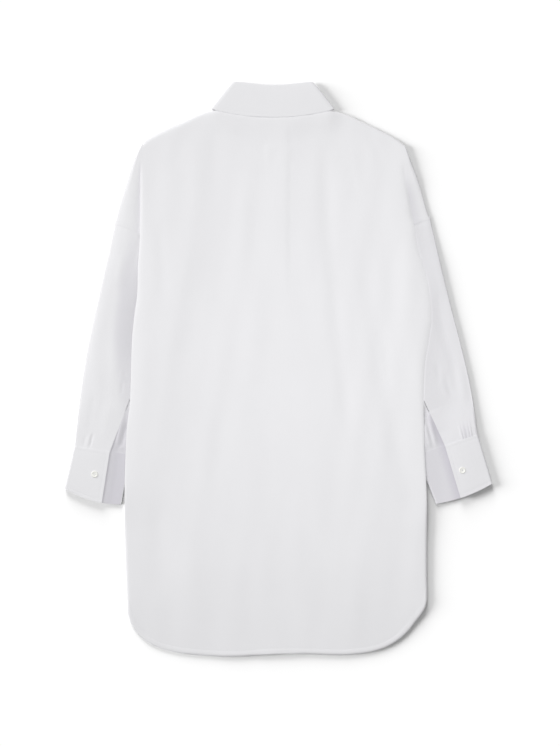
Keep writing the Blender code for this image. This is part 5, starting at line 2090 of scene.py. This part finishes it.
    def patch(self) -> Patch:
        """The whole sleeve: a row runs from the vent's edge over, round, under and back up."""
        vent = self.sizes.vent
        closed = lines(0.29, 0.0042, (0, 0.0015, 0.0035, 0.0055), (0.003, 0))
        opened = lines(0.13, 0.0024, (0, 0.002), (0.003, 0.0014, 0.0005, 0))[1:]
        along = np.append(mix(-self.tuck, vent.start, closed), mix(vent.start, 1, opened))[:, None]
        down = np.clip((along - vent.start) / (1 - vent.start), 0, 1)
        over = self.fold_radius(along)
        under = 0.5 * (self.underlap_level(down) - CLOTH.floor_level)
        over_share, under_share = over / self.width(along), under / self.width(along)
        flat = np.linspace(0, 1, 26)
        lower = mix(self.clearance * over_share, 1 - self.clearance * under_share, flat)
        part = 1 - lines(0.06, 0.0011, (0, 0.0003, 0.0009), (0.0006, 0))
        share = lines(0.05, 0.0018, (0, 0.0012), (0.0012, 0.0004, 0))
        layers = [
            self.overlap_layer(along, down, part),
            (FOLD_IN * over_share, CLOTH.floor_level + over * (1 + FOLD_UP)),
            (lower, CLOTH.floor_level),
            (1 - FOLD_IN * under_share, CLOTH.floor_level + under * (1 - FOLD_UP)),
            self.underlap_layer(along, down, share),
        ]
        grids = []
        for across, level in layers:
            x, y = self.plan(self.hand, along + 0 * across, across)
            shift = np.minimum(along, 0) * 0.35
            grids.append(grid_of(x, y - shift, level))
        grid = np.concatenate(grids, axis=1)
        grid[: len(closed), -1] = grid[: len(closed), 0]
        # painted shade: on the upper layer beside the body and between the gathers, and on the
        # underlap
        inner = np.zeros(grid.shape[:2])
        inner[:, : len(part)] = self.shade(along, grid[:, : len(part)]) + self.painted_hollows(part, down)
        far = self.far_painted_shade * self.sizes.shade_from
        shade = mix(far, self.sizes.shade_to, self.near_edge(x, y, along))
        upper = self.shade(along, grid[:, -len(share) :])
        inner[:, -len(share) :] = mix(upper, shade, ramp(down, 0.04, 0.55))
        run = run_along(grid, 1)
        return Patch(grid, inner=inner, flat=np.stack([run, along * 0.39 + 0 * run], -1))

    def build(self) -> None:
        """Makes the sleeve."""
        patch = self.patch()
        name = f"sleeve_tube_{self.hand.label}"
        piece = make_sheet(name, [patch], CLOTH.wall, CLOTH.wall, self.finish)
        dress(piece, Slot.POPLIN, [f"sleeve_{self.hand.label}"])
        flat_area([patch])


# ---- the buttons


@dataclass(frozen=True)
class ButtonSizes:
    """A four-hole shirt button and the places of all eleven."""

    radius: float = 0.0055
    depth: float = 0.0018
    hole_radius: float = 0.00075
    hole_from_middle: float = 0.00135
    hole_depth: float = 0.0005
    rings: int = 30
    around: int = 72
    first_drop: float = 0.06
    spacing: float = 0.085
    front_count: int = 8
    collar_rise: float = 0.016
    cuff_seat: float = 0.0006

    def front_places(self) -> list[Pair]:
        """The places of the buttons down the front."""
        start = COLLAR.throat - self.first_drop
        return [(0.0, start - number * self.spacing) for number in range(self.front_count)]


BUTTONS = ButtonSizes()


@dataclass
class Button:
    """A button at its place, with the thread that holds it."""

    name: str
    node: str
    place: Triple
    facing: int
    turn: float
    finish: Material
    thread: Material

    def profile(self, out: Array) -> Array:
        """The height of the face: a dished middle inside a rounded rim that falls to the edge."""
        rim = bell(out - 0.8, 0.17)
        edge = np.sqrt(np.clip(1 - np.clip((out - 0.8) / 0.2, 0, 1) ** 2, 0, 1))
        return (0.76 + 0.24 * rim) * mix(0.45, 1.0, edge)

    def holes(self) -> Array:
        """The middles of the four holes, on a circle round the button's middle."""
        angle = self.turn + np.array([0.25, 0.75, 1.25, 1.75]) * math.pi
        return BUTTONS.hole_from_middle * np.stack([np.cos(angle), np.sin(angle)], axis=-1)

    def build(self) -> None:
        """Makes the button, a turned shape with four steep pits, and its thread."""
        size = BUTTONS
        share = np.linspace(0, 1, size.rings + 1)[1:, None]
        angle = np.linspace(0, 2 * math.pi, size.around, endpoint=False)
        x, y = size.radius * share * np.cos(angle), size.radius * share * np.sin(angle)
        up = size.depth * self.profile(share) + 0 * angle
        for hole_x, hole_y in self.holes():
            near = np.hypot(x - hole_x, y - hole_y) / size.hole_radius
            up = up - size.hole_depth * ramp(near, 1.12, 0.86)
        low = np.array([[0.985, 0.12], [0.93, 0.02], [0.8, 0.0], [0.3, 0.0]])
        under_x = size.radius * low[:, :1] * np.cos(angle)
        under_y = size.radius * low[:, :1] * np.sin(angle)
        under = grid_of(under_x, under_y, size.depth * low[:, 1:] + 0 * angle)
        rings = np.concatenate([grid_of(x, y, up), under])
        middle = np.array([[0, 0, size.depth * self.profile(np.zeros(1))[0]], [0, 0, 0]])
        count = len(rings) * size.around
        points = np.concatenate([rings.reshape(-1, 3), middle])
        index = np.arange(size.around)
        following = np.roll(index, -1)
        last = index + count - size.around
        top = np.stack([np.full(size.around, count), index, following], axis=-1)
        bottom = np.stack([np.full(size.around, count + 1), np.roll(last, -1), last], axis=-1)
        body = grid_faces(len(rings), size.around, closed=True)
        points[:, 2] -= 0 if self.facing > 0 else size.depth
        points = points * np.array([1, self.facing, self.facing]) + np.array(self.place)
        data = MeshData()
        data.add(points, body, top, bottom)
        piece = data.build(self.name, self.finish)
        dress(piece, Slot.PEARL, [self.node])
        self._sew_on()

    def _sew_on(self) -> None:
        """Two thick crossing stitches through the holes."""
        data = MeshData()
        size = BUTTONS
        thread = Stitches(height=0.0006, dip=0.0007, rings=9)
        holes = self.holes()
        up = np.array([0.0, 0.0, float(self.facing)])
        base = np.array(self.place) + (0 if self.facing > 0 else 1) * np.array([0, 0, size.depth])
        for first, second in ((0, 1), (2, 3)):
            for shift in (-0.16, 0.16):
                a, b = holes[first], holes[second]
                way = unit(np.array([b[0] - a[0], (b[1] - a[1]) * self.facing, 0.0]))
                side = np.cross(up, way)
                flat = np.array([(a[0] + b[0]) / 2, self.facing * (a[1] + b[1]) / 2, 0.0])
                middle = base + flat + up * (size.depth * 0.74) + side * shift * 0.0022
                thread.place(data, middle[None], way[None], up[None], 0.0026, 0.00045)
        dress(data.build(self.name + "_thread", self.thread), Slot.PEARL, [])


# ---- floor, lights and camera


@dataclass(frozen=True)
class Studio:
    """A pale floor, soft light from the upper left and a camera straight above."""

    view_middle: Pair = (0.0024, -0.006)
    view_height: float = 1.1936
    lens: float = 85.0
    sensor: float = 36.0
    floor_size: float = 14.0
    floor_colour: Triple = (0.93, 0.93, 0.93)
    ambient: float = 0.34
    top: float = 0.462
    top_place: Triple = (0.02, 0.08, 1.25)
    top_size: float = 0.7
    key: float = 0.28
    key_azimuth: float = 142.0
    key_elevation: float = 27.0
    key_spread: float = 45.0
    rakes: tuple[tuple[float, float, float, float], ...] = (
        (0.43, 174.0, 13.0, 24.0),
        (0.33, 104.0, 16.0, 28.0),
    )

    def camera(self) -> None:
        """Sets the camera so that its long side covers view_height on the floor."""
        data = bpy.data.cameras.new("camera")
        data.lens, data.sensor_width = self.lens, self.sensor
        camera = add_object("camera", data)
        camera.location = (*self.view_middle, self.view_height * self.lens / self.sensor)
        bpy.context.scene.camera = camera

    def floor(self) -> Object:
        """A plain pale matt floor under the garment, its colour hardly varied."""
        half = self.floor_size / 2
        data = MeshData()
        corners = np.array([[-half, -half], [half, -half], [half, half], [-half, half]])
        data.add(grid_of(corners[:, 0], corners[:, 1], -0.0001), np.array([[0, 1, 2, 3]]))
        shader = Shader.named("pale_floor")
        dim = [c * 0.995 for c in self.floor_colour]
        shade = shader.blend(shader.noise(Scale=3.0, Detail=4.0), dim, self.floor_colour)
        shader.finish(Base_Color=shade, Roughness=0.9, Specular_IOR_Level=0.1)
        floor = data.build("floor", shader.material)
        floor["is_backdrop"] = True
        return floor

    def sun(
        self, name: str, strength: float, azimuth: float, elevation: float, spread: float
    ) -> Object:
        """Adds a wide soft light.

        Args:
            name: its name.
            strength: the light it gives the floor, where 1 shows a white floor as white.
            azimuth: where it stands, in degrees from +X towards +Y.
            elevation: how high it stands, in degrees.
            spread: its width as seen from the garment, in degrees.

        Returns:
            The light.
        """
        data = bpy.data.lights.new(name, "SUN")
        data.energy = strength * math.pi / math.sin(math.radians(elevation))
        data.angle = math.radians(spread)
        light = add_object(name, data)
        light.rotation_euler = (math.radians(90 - elevation), 0, math.radians(azimuth + 90))
        return light

    def top_light(self) -> Object:
        """A round soft light overhead, a little above the middle, so that the hem is dimmer.

        Its power is the light wanted straight below it times pi squared times its height squared.
        """
        data = bpy.data.lights.new("top_light", "AREA")
        data.shape, data.size = "DISK", self.top_size
        data.energy = self.top * math.pi**2 * self.top_place[2] ** 2
        light = add_object("top_light", data)
        light.location = self.top_place
        light.visible_camera = False
        return light

    def lights(self, floor: Object) -> None:
        """The room's even light, a soft key for the cloth and two low ones for the floor alone."""
        scene = bpy.context.scene
        world = bpy.data.worlds.new("studio")
        world.use_nodes = True
        background = world.node_tree.nodes["Background"]
        background.inputs["Color"].default_value = (1, 1, 1, 1)
        background.inputs["Strength"].default_value = self.ambient
        scene.world = world
        top = self.top_light()
        key = self.sun("key_light", self.key, self.key_azimuth, self.key_elevation, self.key_spread)
        rakes = [self.sun(f"floor_light_{number}", *rake) for number, rake in enumerate(self.rakes)]
        on_floor = bpy.data.collections.new("on_floor")
        on_floor.objects.link(floor)
        for light in rakes:
            light.light_linking.receiver_collection = on_floor
        on_cloth = bpy.data.collections.new("on_cloth")
        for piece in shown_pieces():
            on_cloth.objects.link(piece)
        key.light_linking.receiver_collection = on_cloth
        top.light_linking.receiver_collection = on_cloth
        scene.view_settings.view_transform = "Standard"
        scene.view_settings.look = "None"

    def build(self) -> None:
        """Builds the floor, the lights and the camera."""
        self.lights(self.floor())
        self.camera()


def make_buttons(pearl: Material, thread: Material) -> None:
    """Makes the two cuff buttons, the collar's and the eight down the front.

    Args:
        pearl: the buttons' material.
        thread: their thread's.
    """
    for hand in Hand:
        name = f"cuff_button_{hand.label}"
        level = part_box(f"cuff_button_{hand.label}")[0][2] - BUTTONS.cuff_seat
        place = (*SLEEVES[hand].button, level)
        Button(f"{name}_pearl", name, place, 1, 0.3 * hand.value, pearl, thread).build()
    places = {"collar_button": (0.0, COLLAR.throat + BUTTONS.collar_rise)}
    for number, place in enumerate(BUTTONS.front_places()):
        places[f"front_button_{number + 1}"] = place
    for turn, (node, place) in enumerate(places.items()):
        Button(f"{node}_pearl", node, (*place, 0.0), -1, 0.5 * turn, pearl, thread).build()


def main() -> None:
    """Builds the finishes, the pieces in the order that they are sewn, and the studio."""
    logging.basicConfig(level=logging.INFO, format="%(name)s: %(message)s")
    poplin, thread, pearl = PoplinFinish().build(), ThreadFinish().build(), PearlFinish().build()
    for hand in Hand:
        FrontPanel(hand, poplin).build()
    Placket(poplin, thread).build()
    BackPanel(poplin, thread).build()
    Collar(poplin, thread).build()
    for hand in Hand:
        Sleeve(hand, poplin).build()
        Cuff(hand, poplin, thread).build()
    make_buttons(pearl, thread)
    Studio().build()


if __name__ == "__main__":
    main()
